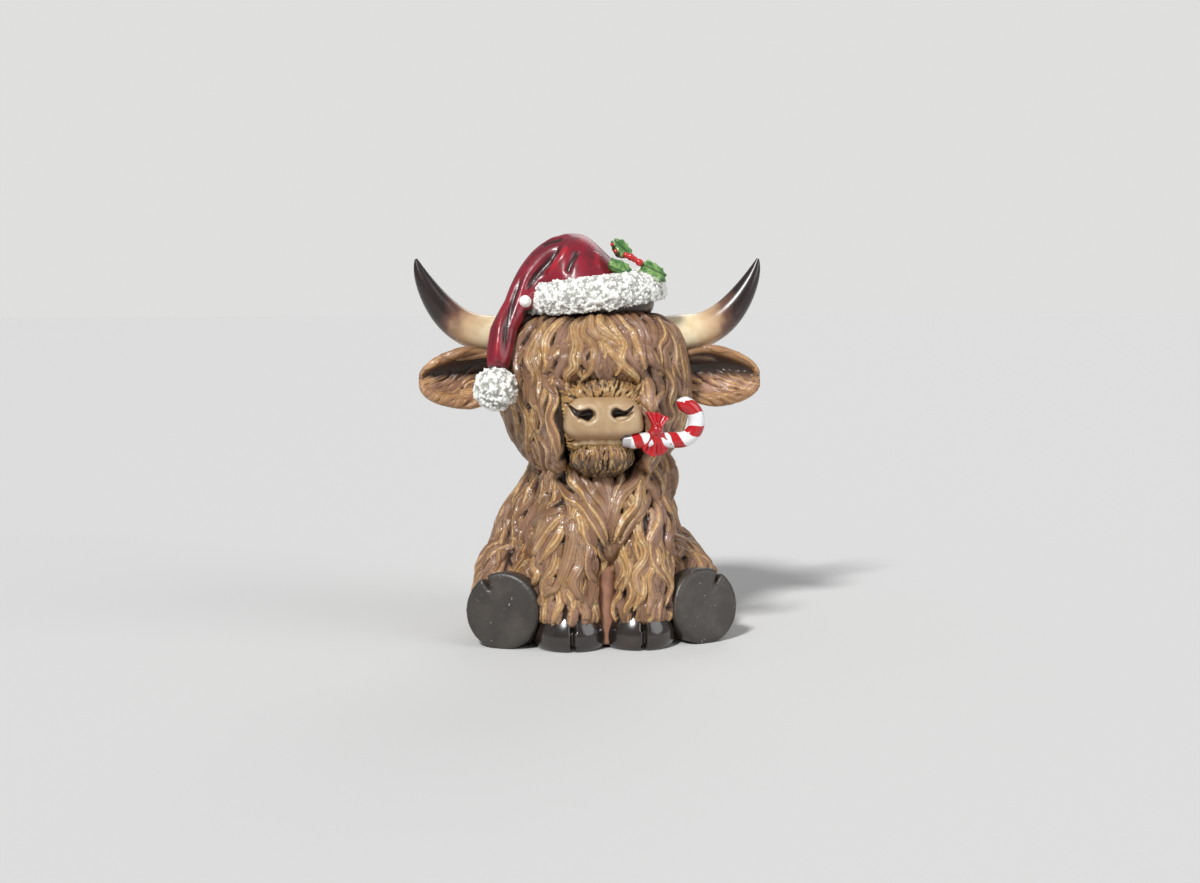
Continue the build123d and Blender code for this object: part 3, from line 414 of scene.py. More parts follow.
def scatter(zone, spacing, length, width, rise, gold, pull, sway=0.55, strands=coat_strands,
            comb=coat_comb, piece=None):
    """Lets locks fall from points spread evenly over a zone of the body, or of another piece."""
    centres, facings, surface = guide_centres, guide_normals, guide
    if piece:
        centres, facings = vertex_data(piece.data, "co") / mm, vertex_data(piece.data, "normal")
        surface = tree_of(piece)
    order = list(range(len(centres)))
    coat_seed.shuffle(order)
    taken = np.empty((0, 3))
    made = []
    for i in order:
        point = centres[i]
        if not zone(*point, *facings[i]):
            continue
        if len(taken) and ((taken - point) ** 2).sum(1).min() < spacing ** 2:
            continue
        taken = np.vstack((taken, point))
        reach = length * coat_seed.uniform(0.8, 1.2)
        run = fall(Vector(point) * mm, reach, sway * coat_seed.uniform(0.6, 1.3),
                   coat_seed.uniform(0.8, 1.3), coat_seed.uniform(0, 6.28), pull, surface)
        if len(run) > 3:
            wide, high = width * coat_seed.uniform(0.72, 1.3), rise * coat_seed.uniform(0.85, 1.2)
            made.append(Lock(run, wide, high, strands, gold * coat_seed.uniform(0.6, 1.3), comb, surface))
    return made


web_side, web_half_width, web_crest = 1.6, 3.4, 37
hat_line = 121


def downwards(place):
    return Vector((0.0, 0.0, -1.0))


def behind_face(x, y, z, nx, ny, nz):
    return 58 < z < hat_line and (abs(x) > 33 or y > -14) and nz > -0.45


def on_back(x, y, z, nx, ny, nz):
    return 3 < z <= 62 and (y > -16 or abs(x) > 27) and nz > -0.6


def under_traced(x, y, z, nx, ny, nz):
    on_muzzle = abs(x) < 17 and 62 < z < 98
    on_web = abs(x - web_side) < web_half_width and z < web_crest
    in_front = 12 < z < hat_line and y <= -14 and abs(x) <= 34
    return in_front and not on_muzzle and not on_web and nz > -0.7


coat_locks += scatter(behind_face, spacing=4.4, length=24, width=4.8, rise=2.2, gold=0.45, pull=downwards)
coat_locks += scatter(on_back, spacing=4.4, length=19, width=4.6, rise=2.1, gold=0.5, pull=downwards)
coat_locks += scatter(under_traced, spacing=4.0, length=16, width=4.0, rise=1.3, gold=0.45, pull=downwards,
                      comb=0.38)


# Short fur is scratched into the muzzle and the chin in fine strokes, combed outwards from
# the nose and down from the lip.
muzzle_middle = Vector((0.2, -34.0, 84.0)) * mm
chin_middle = Vector((-0.4, -30.0, 78.0)) * mm


def from_nose(place):
    return (place - muzzle_middle).normalized() + Vector((0, 0.5, 0))


def from_lip(place):
    return (place - chin_middle).normalized() + Vector((0, 0.2, -0.6))


def round_nose(x, y, z, nx, ny, nz):
    return abs(x) < 21 and 68 < z < 98.5 and y < -24 and ny < 0.3


def on_chin(x, y, z, nx, ny, nz):
    return abs(x) < 15 and 60 < z < 77.5 and y < -22 and ny < 0.5


muzzle_fur = scatter(round_nose, spacing=1.1, length=4.5, width=1.25, rise=0.45, gold=0.6, pull=from_nose,
                     sway=0.2, strands=2, comb=0.15)
chin_fur = scatter(on_chin, spacing=1.1, length=4.5, width=1.3, rise=0.5, gold=0.5, pull=from_lip,
                   sway=0.25, strands=2, comb=0.15)


# The coat is painted by hand in layers: washes of mauve, brown and olive, dark brown rubbed
# into the grooves, and ochre dry-brushed over the strands, all under a thin varnish.
def srgb(red, green, blue):
    """A paint colour read off a colour card, as the linear values that a shader takes."""
    lit = [((c / 255 + 0.055) / 1.055) ** 2.4 if c > 10 else c / 3295 for c in (red, green, blue)]
    return (*lit, 1.0)


class Paint:
    """A painted finish: its nodes are added and joined by short calls."""

    def __init__(self, name, roughness, coat=0.0):
        self.material = bpy.data.materials.new(name)
        self.material.use_nodes = True
        self.tree = self.material.node_tree
        self.shader = self.tree.nodes["Principled BSDF"]
        self.shader.inputs["Roughness"].default_value = roughness
        self.shader.inputs["Coat Weight"].default_value = coat
        self.shader.inputs["Coat Roughness"].default_value = 0.22

    def add(self, kind, **settings):
        node = self.tree.nodes.new(kind)
        for key, value in settings.items():
            setattr(node, key, value)
        return node

    def join(self, source, target):
        self.tree.links.new(source, target)

    def value(self, name):
        return self.add("ShaderNodeAttribute", attribute_name=name).outputs["Fac"]

    def speckle(self, size, detail=3.0, stretch=(1.0, 1.0, 1.0)):
        """Noise with grains of about the given size in millimetres."""
        place = self.add("ShaderNodeTexCoord").outputs["Object"]
        turn = self.add("ShaderNodeMapping")
        turn.inputs["Scale"].default_value = stretch
        self.join(place, turn.inputs["Vector"])
        grain = self.add("ShaderNodeTexNoise")
        grain.inputs["Scale"].default_value = 1000.0 / size
        grain.inputs["Detail"].default_value = detail
        self.join(turn.outputs[0], grain.inputs["Vector"])
        return grain.outputs["Fac"]

    def reckon(self, how, first, second):
        node = self.add("ShaderNodeMath", operation=how)
        for socket, given in zip(node.inputs, (first, second)):
            if isinstance(given, (int, float)):
                socket.default_value = given
            else:
                self.join(given, socket)
        return node.outputs[0]

    def spread(self, source, low, high, start=0.0, end=1.0):
        node = self.add("ShaderNodeMapRange", interpolation_type="SMOOTHSTEP")
        for key, given in (("From Min", low), ("From Max", high), ("To Min", start), ("To Max", end)):
            node.inputs[key].default_value = given
        self.join(source, node.inputs["Value"])
        return node.outputs["Result"]

    def blend(self, share, under, over):
        node = self.add("ShaderNodeMix", data_type="RGBA")
        sockets = (node.inputs["Factor"], node.inputs[6], node.inputs[7])
        for socket, given in zip(sockets, (share, under, over)):
            if isinstance(given, (int, float, tuple)):
                socket.default_value = given
            else:
                self.join(given, socket)
        return node.outputs[2]

    def colour(self, source):
        if isinstance(source, tuple):
            self.shader.inputs["Base Color"].default_value = source
        else:
            self.join(source, self.shader.inputs["Base Color"])

    def bump(self, source, height, strength=0.6):
        node = self.add("ShaderNodeBump")
        node.inputs["Distance"].default_value = height * mm
        node.inputs["Strength"].default_value = strength
        self.join(source, node.inputs["Height"])
        self.join(node.outputs[0], self.shader.inputs["Normal"])


mauve, brown, olive = srgb(162, 124, 102), srgb(132, 95, 68), srgb(168, 128, 78)
ochre, pale_ochre = srgb(212, 164, 98), srgb(240, 208, 150)
groove_brown, deep_brown = srgb(58, 38, 26), srgb(38, 25, 17)


def hair_paint(name, shade, low_tone=None, high_tone=None, low=0.0, high=1.0):
    """The coat's paint; its hollows are shaded, and two tones can fade into each other by height."""
    paint = Paint(name, 0.32, 0.35)
    paint.shader.inputs["Coat Roughness"].default_value = 0.14
    tone = paint.blend(paint.spread(paint.speckle(14, 2), 0.40, 0.62), mauve, brown)
    tone = paint.blend(paint.spread(paint.value("tint"), 0.25, 1.0, 0.0, 0.8), tone, brown)
    tone = paint.blend(paint.spread(paint.speckle(8, 3), 0.55, 0.72, 0.0, 0.6), tone, olive)
    if low_tone:
        place = paint.add("ShaderNodeSeparateXYZ")
        paint.join(paint.add("ShaderNodeTexCoord").outputs["Object"], place.inputs[0])
        fade = paint.blend(paint.spread(place.outputs["Z"], low * mm, high * mm), low_tone, high_tone)
        tone = paint.blend(0.8, tone, fade)
    gold_tone = paint.blend(paint.spread(paint.speckle(2.2), 0.42, 0.68), ochre, pale_ochre)
    dry_brush = paint.spread(paint.speckle(1.6, 4), 0.28, 0.52, 0.45, 1.0)
    tone = paint.blend(paint.reckon("MULTIPLY", paint.value("gold"), dry_brush), tone, gold_tone)
    tone = paint.blend(paint.spread(paint.value("groove"), 0.30, 0.95, 0.0, 0.9), tone, groove_brown)
    tone = paint.blend(paint.spread(paint.value("relief"), 0.0, 0.26, shade, 0.0), tone, deep_brown)
    paint.colour(tone)
    fine_hair = paint.reckon("SINE", paint.reckon("MULTIPLY", paint.value("hairline"), 19.0), 0.0)
    paint.bump(paint.reckon("MULTIPLY", fine_hair, 0.5), 0.12, 0.8)
    return paint


coat = hair_paint("painted_coat", 0.8)
# the muzzle is pale below 93.5 mm and darker brown above 97.6 mm: painted shade under the fringe tips
muzzle_coat = hair_paint("muzzle_paint", 0.3, srgb(188, 146, 92), srgb(104, 74, 54), 93.5, 97.6)
# the chin is near black below 67.5 mm: painted shade under the chin
chin_coat = hair_paint("chin_paint", 0.4, srgb(54, 39, 31), srgb(156, 118, 78), 67.5, 72.5)


# The shaggy castings are each shaped from their CAD nodes, carved with the locks that cross
# them and painted. Tufts hang over the front hooves, and what stands on the table is flat.
leg_sides, leg_forward, tuft_height = (-11.2, 14.0), 31.4, 12.2
tuft_ring, tuft_radii = (11.6, 12.4), (2.3, 2.3, 3.6)
front_cut, back_cut = -12.0 * mm, 14.0 * mm


def fetlock(side):
    """Tufts that hang from the foot of a front leg over the hoof."""
    tufts = []
    for i in range(15):
        turn = math.radians(-105 + 15 * i + coat_seed.uniform(-4, 4))
        place = (side + tuft_ring[0] * math.sin(turn), -leg_forward - tuft_ring[1] * math.cos(turn),
                 tuft_height + coat_seed.uniform(0, 1.4))
        tufts.append((place, tuft_radii))
    return tufts


fringe_count = len(fringe_traced)
coat_pieces = (
    # piece, CAD nodes that it stands for, nodes that shape it, added masses, locks, paint
    ("head_hair", ("head", "fringe", "mane"), ("head",), head_masses, coat_locks, coat),
    ("muzzle_hair", ("snout",), ("snout",), muzzle_masses, muzzle_fur + coat_locks[:fringe_count],
     muzzle_coat),
    ("chin_hair", ("chin",), ("chin",), chin_masses, chin_fur, chin_coat),
    ("body_hair", ("torso", "bib", "back_hair"), ("torso", "bib"), (shoulder_mass, neck_mass),
     coat_locks, coat),
    ("leg_hair_left", ("front_leg_left",), ("front_leg_left",), fetlock(leg_sides[0]), coat_locks, coat),
    ("leg_hair_right", ("front_leg_right",), ("front_leg_right",), fetlock(leg_sides[1]), coat_locks, coat),
    ("thigh_hair_left", ("thigh_left",), ("thigh_left",), (), coat_locks, coat),
    ("thigh_hair_right", ("thigh_right",), ("thigh_right",), (), coat_locks, coat),
)


def stood(piece):
    """Flattens what hangs below the table, as the ground foot of a casting is flat."""
    points = vertex_data(piece.data, "co") / mm
    points[:, 2] = np.maximum(points[:, 2], 0.0)
    reshape(piece, points)
    return piece


def sliced(piece, stem):
    """Cuts a large piece into a closed front, middle and back at two upright planes."""
    slices = []
    for word, planes in (("front", ((front_cut, 1),)), ("middle", ((front_cut, -1), (back_cut, 1))),
                         ("back", ((back_cut, -1),))):
        shape = bmesh.new()
        shape.from_mesh(piece.data)
        for cut_at, facing in planes:
            everything = shape.verts[:] + shape.edges[:] + shape.faces[:]
            cut = bmesh.ops.bisect_plane(shape, geom=everything, plane_co=(0, cut_at, 0),
                                         plane_no=(0, facing, 0), clear_outer=True, dist=1e-7)
            rim = [e for e in cut["geom_cut"] if isinstance(e, bmesh.types.BMEdge)]
            bmesh.ops.holes_fill(shape, edges=rim, sides=0)
        slices.append(show(shape, f"{stem}_{word}"))
    bpy.data.objects.remove(piece)
    return slices


for stem, nodes, shaped_by, masses, locks, paint in coat_pieces:
    shape = cad_copy(shaped_by)
    for mass in masses:
        add_ball(shape, *mass)
    piece = stood(carve(pinch(soften(shape, stem, form_cell, form_rub, form_swell, levels=2)), locks))
    parts = sliced(piece, stem) if stem in ("head_hair", "body_hair") else [piece]
    for part in parts:
        part.data.materials.append(paint.material)
        part.data.shade_smooth()
        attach(part, "root")
        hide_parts(*nodes)


# The nose pad is a smooth casting let into the muzzle, with comma-shaped nostrils pressed
# into it, painted beige and darker towards its foot.
pad_middle, pad_width, pad_taper, pad_forward = 84.6, 0.955, 0.011, 0.5
nostrils = (
    # round end and tail, as the camera sees them, and the radius of the round end
    ((-5.4, 85.7), (-8.8, 86.0), (-11.6, 88.6), 2.6),
    ((5.0, 86.2), (8.3, 86.0), (11.4, 88.2), 2.1),
)
nostril_taper = ((0, 0.3, 1), (1.0, 0.62, 0.2))
nostril_depth, nostril_rim, rim_place, rim_width = 1.0, 0.22, 1.35, 0.28


def resting_on(piece, slot, *nodes):
    """A finished piece rides on the body and stands for its CAD nodes; its slot is not used."""
    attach(piece, "root")
    if nodes:
        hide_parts(*nodes)
    piece.data.shade_smooth()


def coated(piece, paint):
    piece.data.materials.clear()
    piece.data.materials.append(paint.material)


def store(piece, **layers):
    for name, values in layers.items():
        layer = piece.data.attributes.new(name, "FLOAT", "POINT")
        layer.data.foreach_set("value", np.asarray(values, np.float32))


def line_distance(points, run):
    """Each point's distance from a run of points, and where along the run it is nearest."""
    run = np.array(run)
    spread = np.linalg.norm(points[:, None, :] - run[None], axis=2)
    return spread.min(1), spread.argmin(1) / (len(run) - 1)


pad = soften(cad_copy(("nose_pad",)), "nose_pad_cast", cell=0.6 * mm, rounds=14, swell=0.25 * mm,
             levels=1)
points = vertex_data(pad.data, "co") / mm
points[:, 0] *= pad_width - pad_taper * (points[:, 2] - pad_middle)
points[:, 1] -= pad_forward
reshape(pad, points)
pad_tree = tree_of(pad)
normals = vertex_data(pad.data, "normal")
inside = np.zeros(len(points))
rim = np.zeros(len(points))
for first, middle, last, radius in nostrils:
    run = [np.array(p) / mm for p in through((first, middle, last), pad_tree)]
    away, share = line_distance(points[:, (0, 2)], np.array(run)[:, (0, 2)])
    width = radius * np.interp(share, *nostril_taper)
    inside = np.maximum(inside, np.clip(1.15 - away / width, 0, 1))
    rim = np.maximum(rim, np.exp(-((away / width - rim_place) / rim_width) ** 2))
inside = inside * inside * (3 - 2 * inside)
points += normals * (rim * nostril_rim)[:, None]
points[:, 1] += inside * nostril_depth
reshape(pad, points)
store(pad, nostril=inside, rim=rim)
pad_paint = Paint("nose_paint", 0.34, 0.2)
place = pad_paint.add("ShaderNodeSeparateXYZ")
pad_paint.join(pad_paint.add("ShaderNodeTexCoord").outputs["Object"], place.inputs[0])
foot_darkening = pad_paint.spread(place.outputs["Z"], 77.5 * mm, 82.0 * mm, 0.75, 0.0)
beige, warm_beige = srgb(188, 160, 124), srgb(170, 138, 102)
tone = pad_paint.blend(pad_paint.spread(pad_paint.speckle(7), 0.35, 0.7), beige, warm_beige)
tone = pad_paint.blend(foot_darkening, tone, srgb(150, 112, 80))
# painted highlight: the raised rims round the nostrils are painted a paler beige
rim_highlight_share = pad_paint.spread(pad_paint.value("rim"), 0.2, 1.0, 0.0, 0.5)
tone = pad_paint.blend(rim_highlight_share, tone, srgb(214, 190, 158))
tone = pad_paint.blend(pad_paint.spread(pad_paint.value("nostril"), 0.06, 0.26), tone, srgb(44, 30, 24))
pad_paint.colour(tone)
pad_paint.bump(pad_paint.speckle(1.2, 5), 0.08)
coated(pad, pad_paint)
resting_on(pad, "nose", "nose_pad")


# Under the nose pad a thin lip stands out, which closes the mouth over the cane. It is cast
# with the chin, thickest in the middle, and painted a lighter beige than the pad.
lip_line = ((-10.2, 74.6), (-6.0, 75.9), (0.0, 75.9), (7.0, 75.6), (9.0, 75.2))
lip_radius = 1.5


def drawn_out(shape, ring):
    """Extrudes a ring of points and gives the new ring in the same order."""
    edges = [e for e in shape.edges if e.verts[0] in ring and e.verts[1] in ring]
    made = bmesh.ops.extrude_edge_only(shape, edges=edges)["geom"]
    fresh = {v for v in made if isinstance(v, bmesh.types.BMVert)}
    return [next(e.other_vert(v) for e in v.link_edges if e.other_vert(v) in fresh) for v in ring]


def bar(run, radii, name, sides=20):
    """A closed round bar along a run of points in millimetres; stores how far along and round."""
    shape = bmesh.new()
    along_layer = shape.verts.layers.float.new("along")
    up_layer = shape.verts.layers.float.new("up")
    out_layer = shape.verts.layers.float.new("out")
    run = [Vector(p) for p in run]
    side = (run[1] - run[0]).orthogonal().normalized()
    ring = bmesh.ops.create_circle(shape, cap_ends=True, segments=sides, radius=1.0)["verts"]
    travel = 0.0
    for i, (place, radius) in enumerate(zip(run, radii)):
        ahead = (run[min(i + 1, len(run) - 1)] - run[max(i - 1, 0)]).normalized()
        side = (side - ahead * side.dot(ahead)).normalized()
        if i:
            travel += (place - run[i - 1]).length
            ring = drawn_out(shape, ring)
        other = ahead.cross(side)
        for k, vert in enumerate(ring):
            turn = 2 * math.pi * k / sides
            arm = side * math.cos(turn) + other * math.sin(turn)
            vert.co = (place + arm * radius) * mm
            vert[along_layer] = travel
            vert[up_layer], vert[out_layer] = arm.z, -arm.y
    shape.faces.new(ring)
    bmesh.ops.recalc_face_normals(shape, faces=shape.faces)
    return show(shape, name)


run = [np.array(p) / mm for p in through(lip_line)]
ends = [0.08 + 0.84 * i / (len(run) - 1) for i in range(len(run))]
sizes = [lip_radius * math.sin(math.pi * share) ** 0.6 for share in ends]
lip = bar([Vector(p) + Vector((0, -0.2, 0)) for p in run], sizes, "lower_lip")
lip_paint = Paint("lip_paint", 0.4, 0.1)
lip_paint.colour(lip_paint.blend(lip_paint.spread(lip_paint.speckle(2.5), 0.35, 0.7), srgb(206, 178, 138),
                                 srgb(172, 132, 92)))
coated(lip, lip_paint)
resting_on(lip, "nose")


# Between the front legs the casting is a smooth web, painted pinkish brown.
# It runs up from the table to the point of the chest hair, where it thins out.
web_top, web_foot, web_forward, web_radius = 38.0, 1.5, 36.6, 4.3
web_steps, web_point, web_thinning = 30, 0.3, 2.4
web_rise = [i / web_steps for i in range(web_steps + 1)]
web_run = [(web_side, -web_forward, web_foot + (web_top - web_foot) * share) for share in web_rise]
web_sizes = [web_radius * min(1.0, web_point + web_thinning * (1 - share)) for share in web_rise]
web = bar(web_run, web_sizes, "leg_web", 32)
web_paint = Paint("web_paint", 0.34, 0.2)
web_paint.colour(web_paint.blend(web_paint.spread(web_paint.speckle(6), 0.35, 0.7), srgb(162, 116, 92),
                                 srgb(136, 95, 72)))
coated(web, web_paint)
resting_on(web, "hair")


# The hooves are cast on the ends of the legs and painted black: the front ones glossy, with
# a cleft in front, and the hind ones turned up so that their flat soles show.
cleft_half_width, cleft_press, cleft_run, cleft_fade, cleft_foot = 0.7, 2.0, 6.0, 4.0, 3.0
hoof_draw_in, draw_in_from, draw_in_height = 0.16, 5.5, 7
black = srgb(34, 27, 24)
hoof_gloss = Paint("front_hoof_paint", 0.13, 0.8)
tone = hoof_gloss.blend(hoof_gloss.spread(hoof_gloss.speckle(5), 0.4, 0.7), black, srgb(52, 41, 36))
hoof_gloss.colour(tone)
hoof_gloss.bump(hoof_gloss.speckle(2.5, 4), 0.12)
sole_paint = Paint("hind_hoof_paint", 0.42, 0.05)
sole_dark, sole_light = srgb(56, 51, 47), srgb(74, 68, 63)
sole_tone = sole_paint.blend(sole_paint.spread(sole_paint.speckle(9, 5), 0.35, 0.75), sole_dark, sole_light)
flecks = sole_paint.reckon("GREATER_THAN", sole_paint.speckle(0.9, 2), 0.735)
sole_paint.colour(sole_paint.blend(flecks, sole_tone, srgb(190, 190, 186)))
sole_paint.bump(sole_paint.speckle(1.4, 5), 0.06)
for hand in ("left", "right"):
    front = soften(cad_copy((f"front_hoof_{hand}",)), f"front_hoof_cast_{hand}", cell=0.7 * mm, rounds=5,
                   swell=0.15 * mm, levels=1)
    points = vertex_data(front.data, "co") / mm
    low, high = points.min(0), points.max(0)
    cleft_side = (low[0] + high[0]) / 2
    in_front = np.clip((low[1] + cleft_run - points[:, 1]) / cleft_fade, 0, 1)
    press = np.exp(-((points[:, 0] - cleft_side) / cleft_half_width) ** 2) * in_front
    points[:, 1] += press * cleft_press * np.clip(points[:, 2] / cleft_foot, 0.3, 1)
    middle = (low + high) / 2
    drawn = 1 - hoof_draw_in * np.clip((points[:, 2] - draw_in_from) / draw_in_height, 0, 1) ** 2
    points[:, :2] = middle[:2] + (points[:, :2] - middle[:2]) * drawn[:, None]
    reshape(front, points)
    coated(front, hoof_gloss)
    resting_on(front, "front_hoof", f"front_hoof_{hand}")
    hind = soften(cad_copy((f"hind_hoof_{hand}",)), f"hind_hoof_cast_{hand}", cell=0.7 * mm, rounds=4,
                  swell=0.1 * mm, levels=1)
    coated(hind, sole_paint)
    resting_on(hind, "hind_hoof", f"hind_hoof_{hand}")


# The horns are smooth tapered castings on pegs in the head, sprayed from cream at the root
# through a pinkish brown to nearly black at the tip, and varnished.
horn_fade = ((37.0, 47.0), (45.0, 53.0), (50.0, 58.0))
fade_level, fade_slope, fade_drift = 120.0, 0.18, 10.0
cream, dark_cream = srgb(240, 222, 186), srgb(222, 196, 152)
fade_tones = (srgb(206, 172, 134), srgb(120, 84, 68), srgb(38, 26, 24))
horn_paint = Paint("horn_paint", 0.3, 0.25)
place = horn_paint.add("ShaderNodeSeparateXYZ")
horn_paint.join(horn_paint.add("ShaderNodeTexCoord").outputs["Object"], place.inputs[0])
out = horn_paint.reckon("ABSOLUTE", place.outputs["X"], 0.0)
cloud = horn_paint.reckon("SUBTRACT", horn_paint.speckle(6, 4), 0.5)
drift = horn_paint.reckon("MULTIPLY", cloud, fade_drift * mm)
above = horn_paint.reckon("SUBTRACT", place.outputs["Z"], fade_level * mm)
lie = horn_paint.reckon("MULTIPLY", above, fade_slope)
out = horn_paint.reckon("ADD", horn_paint.reckon("ADD", out, drift), lie)
tone = horn_paint.blend(horn_paint.spread(horn_paint.speckle(4, 5), 0.4, 0.75), cream, dark_cream)
for (low, high), shade in zip(horn_fade, fade_tones):
    tone = horn_paint.blend(horn_paint.spread(out, low * mm, high * mm), tone, shade)
horn_paint.colour(tone)
horn_paint.bump(horn_paint.speckle(3, 4), 0.10)
for hand in ("left", "right"):
    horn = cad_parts[f"horn_{hand}"]
    coated(horn, horn_paint)


# Each ear is a leaf-shaped cup with a rolled rim, combed with short hair that runs down to the
# lower rim; the deep upper part of its hollow is painted near black as painted shade.
ear_root, ear_reach, ear_fur_from = 27, 37, 29
hollow_from, hollow_fade = 0.9, 1.5
hollow_foot, hollow_foot_fade, hollow_top, hollow_top_fade = -1.0, 2.0, 8.5, 2.5
rim_depth, rim_strength = 1.6, 0.7
ear_light, ear_brown = srgb(168, 128, 104), srgb(130, 94, 72)
ear_dark = Paint("ear_paint", 0.42, 0.15)
tone = ear_dark.blend(ear_dark.spread(ear_dark.speckle(5), 0.35, 0.7), ear_light, ear_brown)
tone = ear_dark.blend(ear_dark.value("gold"), tone, srgb(214, 170, 112))
tone = ear_dark.blend(ear_dark.spread(ear_dark.value("groove"), 0.3, 0.9, 0.0, 0.9), tone, groove_brown)
# painted shade: the deep upper hollow of the cup is painted near black
tone = ear_dark.blend(ear_dark.value("hollow"), tone, srgb(50, 35, 26))
tone = ear_dark.blend(ear_dark.value("edge"), tone, srgb(168, 124, 82))
ear_dark.colour(tone)
ear_dark.bump(ear_dark.speckle(1.0, 5), 0.08)
for hand, sign in (("left", -1), ("right", 1)):
    ear = soften(cad_copy((f"ear_{hand}",)), f"ear_cast_{hand}", cell=0.6 * mm, rounds=3,
                 swell=0.12 * mm, levels=1)
    low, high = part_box(f"ear_{hand}")
    low, high = np.array(low) / mm, np.array(high) / mm
    middle = (low + high) / 2

    def in_cup(x, y, z, nx, ny, nz):
        return ny < -0.1 and z < middle[2] + 2 and abs(x) > ear_fur_from

    def behind_cup(x, y, z, nx, ny, nz):
        return ny > -0.1 and abs(x) > ear_fur_from

    locks = scatter(in_cup, spacing=2.0, length=9.0, width=2.4, rise=1.0, gold=0.5,
                    pull=lambda place: Vector((sign, 0, -0.6)), sway=0.3, strands=2, comb=0.3, piece=ear)
    locks += scatter(behind_cup, spacing=3.4, length=14.0, width=3.8, rise=0.9, gold=0.5,
                     pull=lambda place: Vector((sign, 0, -0.15)), sway=0.3, strands=3, comb=0.3, piece=ear)
    before = vertex_data(ear.data, "co") / mm
    facing = vertex_data(ear.data, "normal")
    carve(ear, locks, 0.1)
    reach = (before[:, 0] * sign - ear_root) / ear_reach
    depth = before[:, 1] - low[1]
    front = facing[:, 1] < 0.1
    lift = before[:, 2] - middle[2]
    hollow = (np.clip((depth - hollow_from) / hollow_fade, 0, 1)
              * np.clip((lift - hollow_foot) / hollow_foot_fade, 0, 1)
              * np.clip((hollow_top - lift) / hollow_top_fade, 0, 1))
    hollow = np.where(front, hollow * 0.95, 0)
    edge = np.where(front, np.clip(1.2 - depth / rim_depth, 0, 1), 0.0) * np.clip(reach * 5, 0, 1)
    store(ear, hollow=hollow, edge=edge * rim_strength)
    coated(ear, ear_dark)
    resting_on(ear, "hair", f"ear_{hand}")


# The tail is cast against the back and ends in a tuft. It is carved all over with thin locks
# that run towards its tip, and painted like the coat.
tail_pull = Vector((0.75, -0.25, -0.6))
tail = soften(cad_copy(("tail",)), "tail_hair", cell=0.8 * mm, rounds=4, swell=0.2 * mm, levels=1)
tail_locks = scatter(lambda *spot: True, spacing=2.2, length=12.0, width=2.8, rise=0.8, gold=0.6,
                     pull=lambda place: tail_pull, sway=0.3, strands=2, comb=0.3, piece=tail)
carve(tail, tail_locks, 0.2)
coated(tail, coat)
resting_on(tail, "hair", "tail")


# The floppy hat is cast with the head: a rounded crown whose point folds over to one side and
# hangs down to the pompom, painted crimson with a brown wash rubbed into its folds. The creases
# are darkened further with painted shade, the raised folds lightened with painted highlights, and
# what shows below the trim is painted dark brown as painted shade.
hat_folds = (
    # width, depth (raised where negative), then (x, z) as the camera sees them
    (2.2, 1.5, (-14.6, 146.6), (-18.6, 141.6), (-24.0, 135.0), (-27.0, 130.0)),
    (2.4, -0.8, (-12.2, 146.4), (-14.8, 141.6), (-19.8, 135.8)),
    (2.0, 0.9, (-8.4, 144.6), (-11.6, 139.0), (-12.4, 136.0)),
    (2.2, 0.9, (-13.6, 149.0), (-22.0, 146.2), (-28.6, 140.0), (-33.0, 132.0)),
    (2.4, -0.7, (-20.0, 147.6), (-27.4, 142.4), (-32.6, 135.0), (-36.0, 126.0)),
    (1.9, 0.9, (-28.6, 136.0), (-32.0, 127.0), (-34.0, 118.0), (-35.2, 108.0)),
    (2.0, -0.6, (-31.2, 136.0), (-35.0, 126.0), (-37.0, 115.0), (-38.0, 106.0)),
    (2.2, 0.6, (0.0, 148.6), (4.0, 144.0), (6.0, 138.6)),
    (2.6, -0.5, (-4.0, 149.4), (-2.0, 144.0), (-1.4, 138.0)),
)
hat_slump, slump_from, slump_width, slump_heights = 2.8, 8, 12, (116, 126)
hat_tuck, tuck_middle, hat_tail_side = 0.14, (0.6, -4.0), -24
brim_height, brim_slope, brim_fade = 125.5, 0.06, 1.5
crimson, dark_crimson, highlight_crimson = srgb(142, 22, 44), srgb(112, 20, 36), srgb(186, 26, 44)
hat = soften(cad_copy(("hat",)), "hat_cast", cell=1.0 * mm, rounds=8, swell=0.15 * mm, levels=1)
points = vertex_data(hat.data, "co") / mm
slumped = np.clip((-points[:, 0] - slump_from) / slump_width, 0, 1)
points[:, 0] += hat_slump * slumped * np.interp(points[:, 2], slump_heights, (0, 1))
below_brim = np.clip((brim_height + brim_slope * points[:, 0] - points[:, 2]) / brim_fade, 0, 1)
tucked = 1 - hat_tuck * below_brim * (points[:, 0] > hat_tail_side)
points[:, :2] = tuck_middle + (points[:, :2] - tuck_middle) * tucked[:, None]
reshape(hat, points)
hat_tree = tree_of(hat)
points, normals = vertex_data(hat.data, "co") / mm, vertex_data(hat.data, "normal")
crease = np.zeros(len(points))
move = np.zeros(len(points))
for width, depth, *seen_at in hat_folds:
    run = [np.array(p) / mm for p in through(seen_at, hat_tree)]
    if len(run) < 3:
        continue
    away, share = line_distance(points, run)
    press = np.exp(-(away / width) ** 2 * 2.2) * np.clip(np.sin(np.pi * (share * 0.9 + 0.05)) * 1.6, 0, 1)
    move -= press * depth
    crease = np.maximum(crease, press * (depth > 0))
reshape(hat, points + normals * move[:, None])
shaded_under_trim = points[:, 2] < brim_height - 1 + brim_slope * points[:, 0]
shaded_under_trim = shaded_under_trim & (points[:, 0] > hat_tail_side - 3)
store(hat, crease=crease, lifted=np.clip(move, 0, 1), under=shaded_under_trim)
hat_paint = Paint("hat_paint", 0.34, 0.3)
tone = hat_paint.blend(hat_paint.spread(hat_paint.speckle(11, 4), 0.38, 0.66), crimson, dark_crimson)
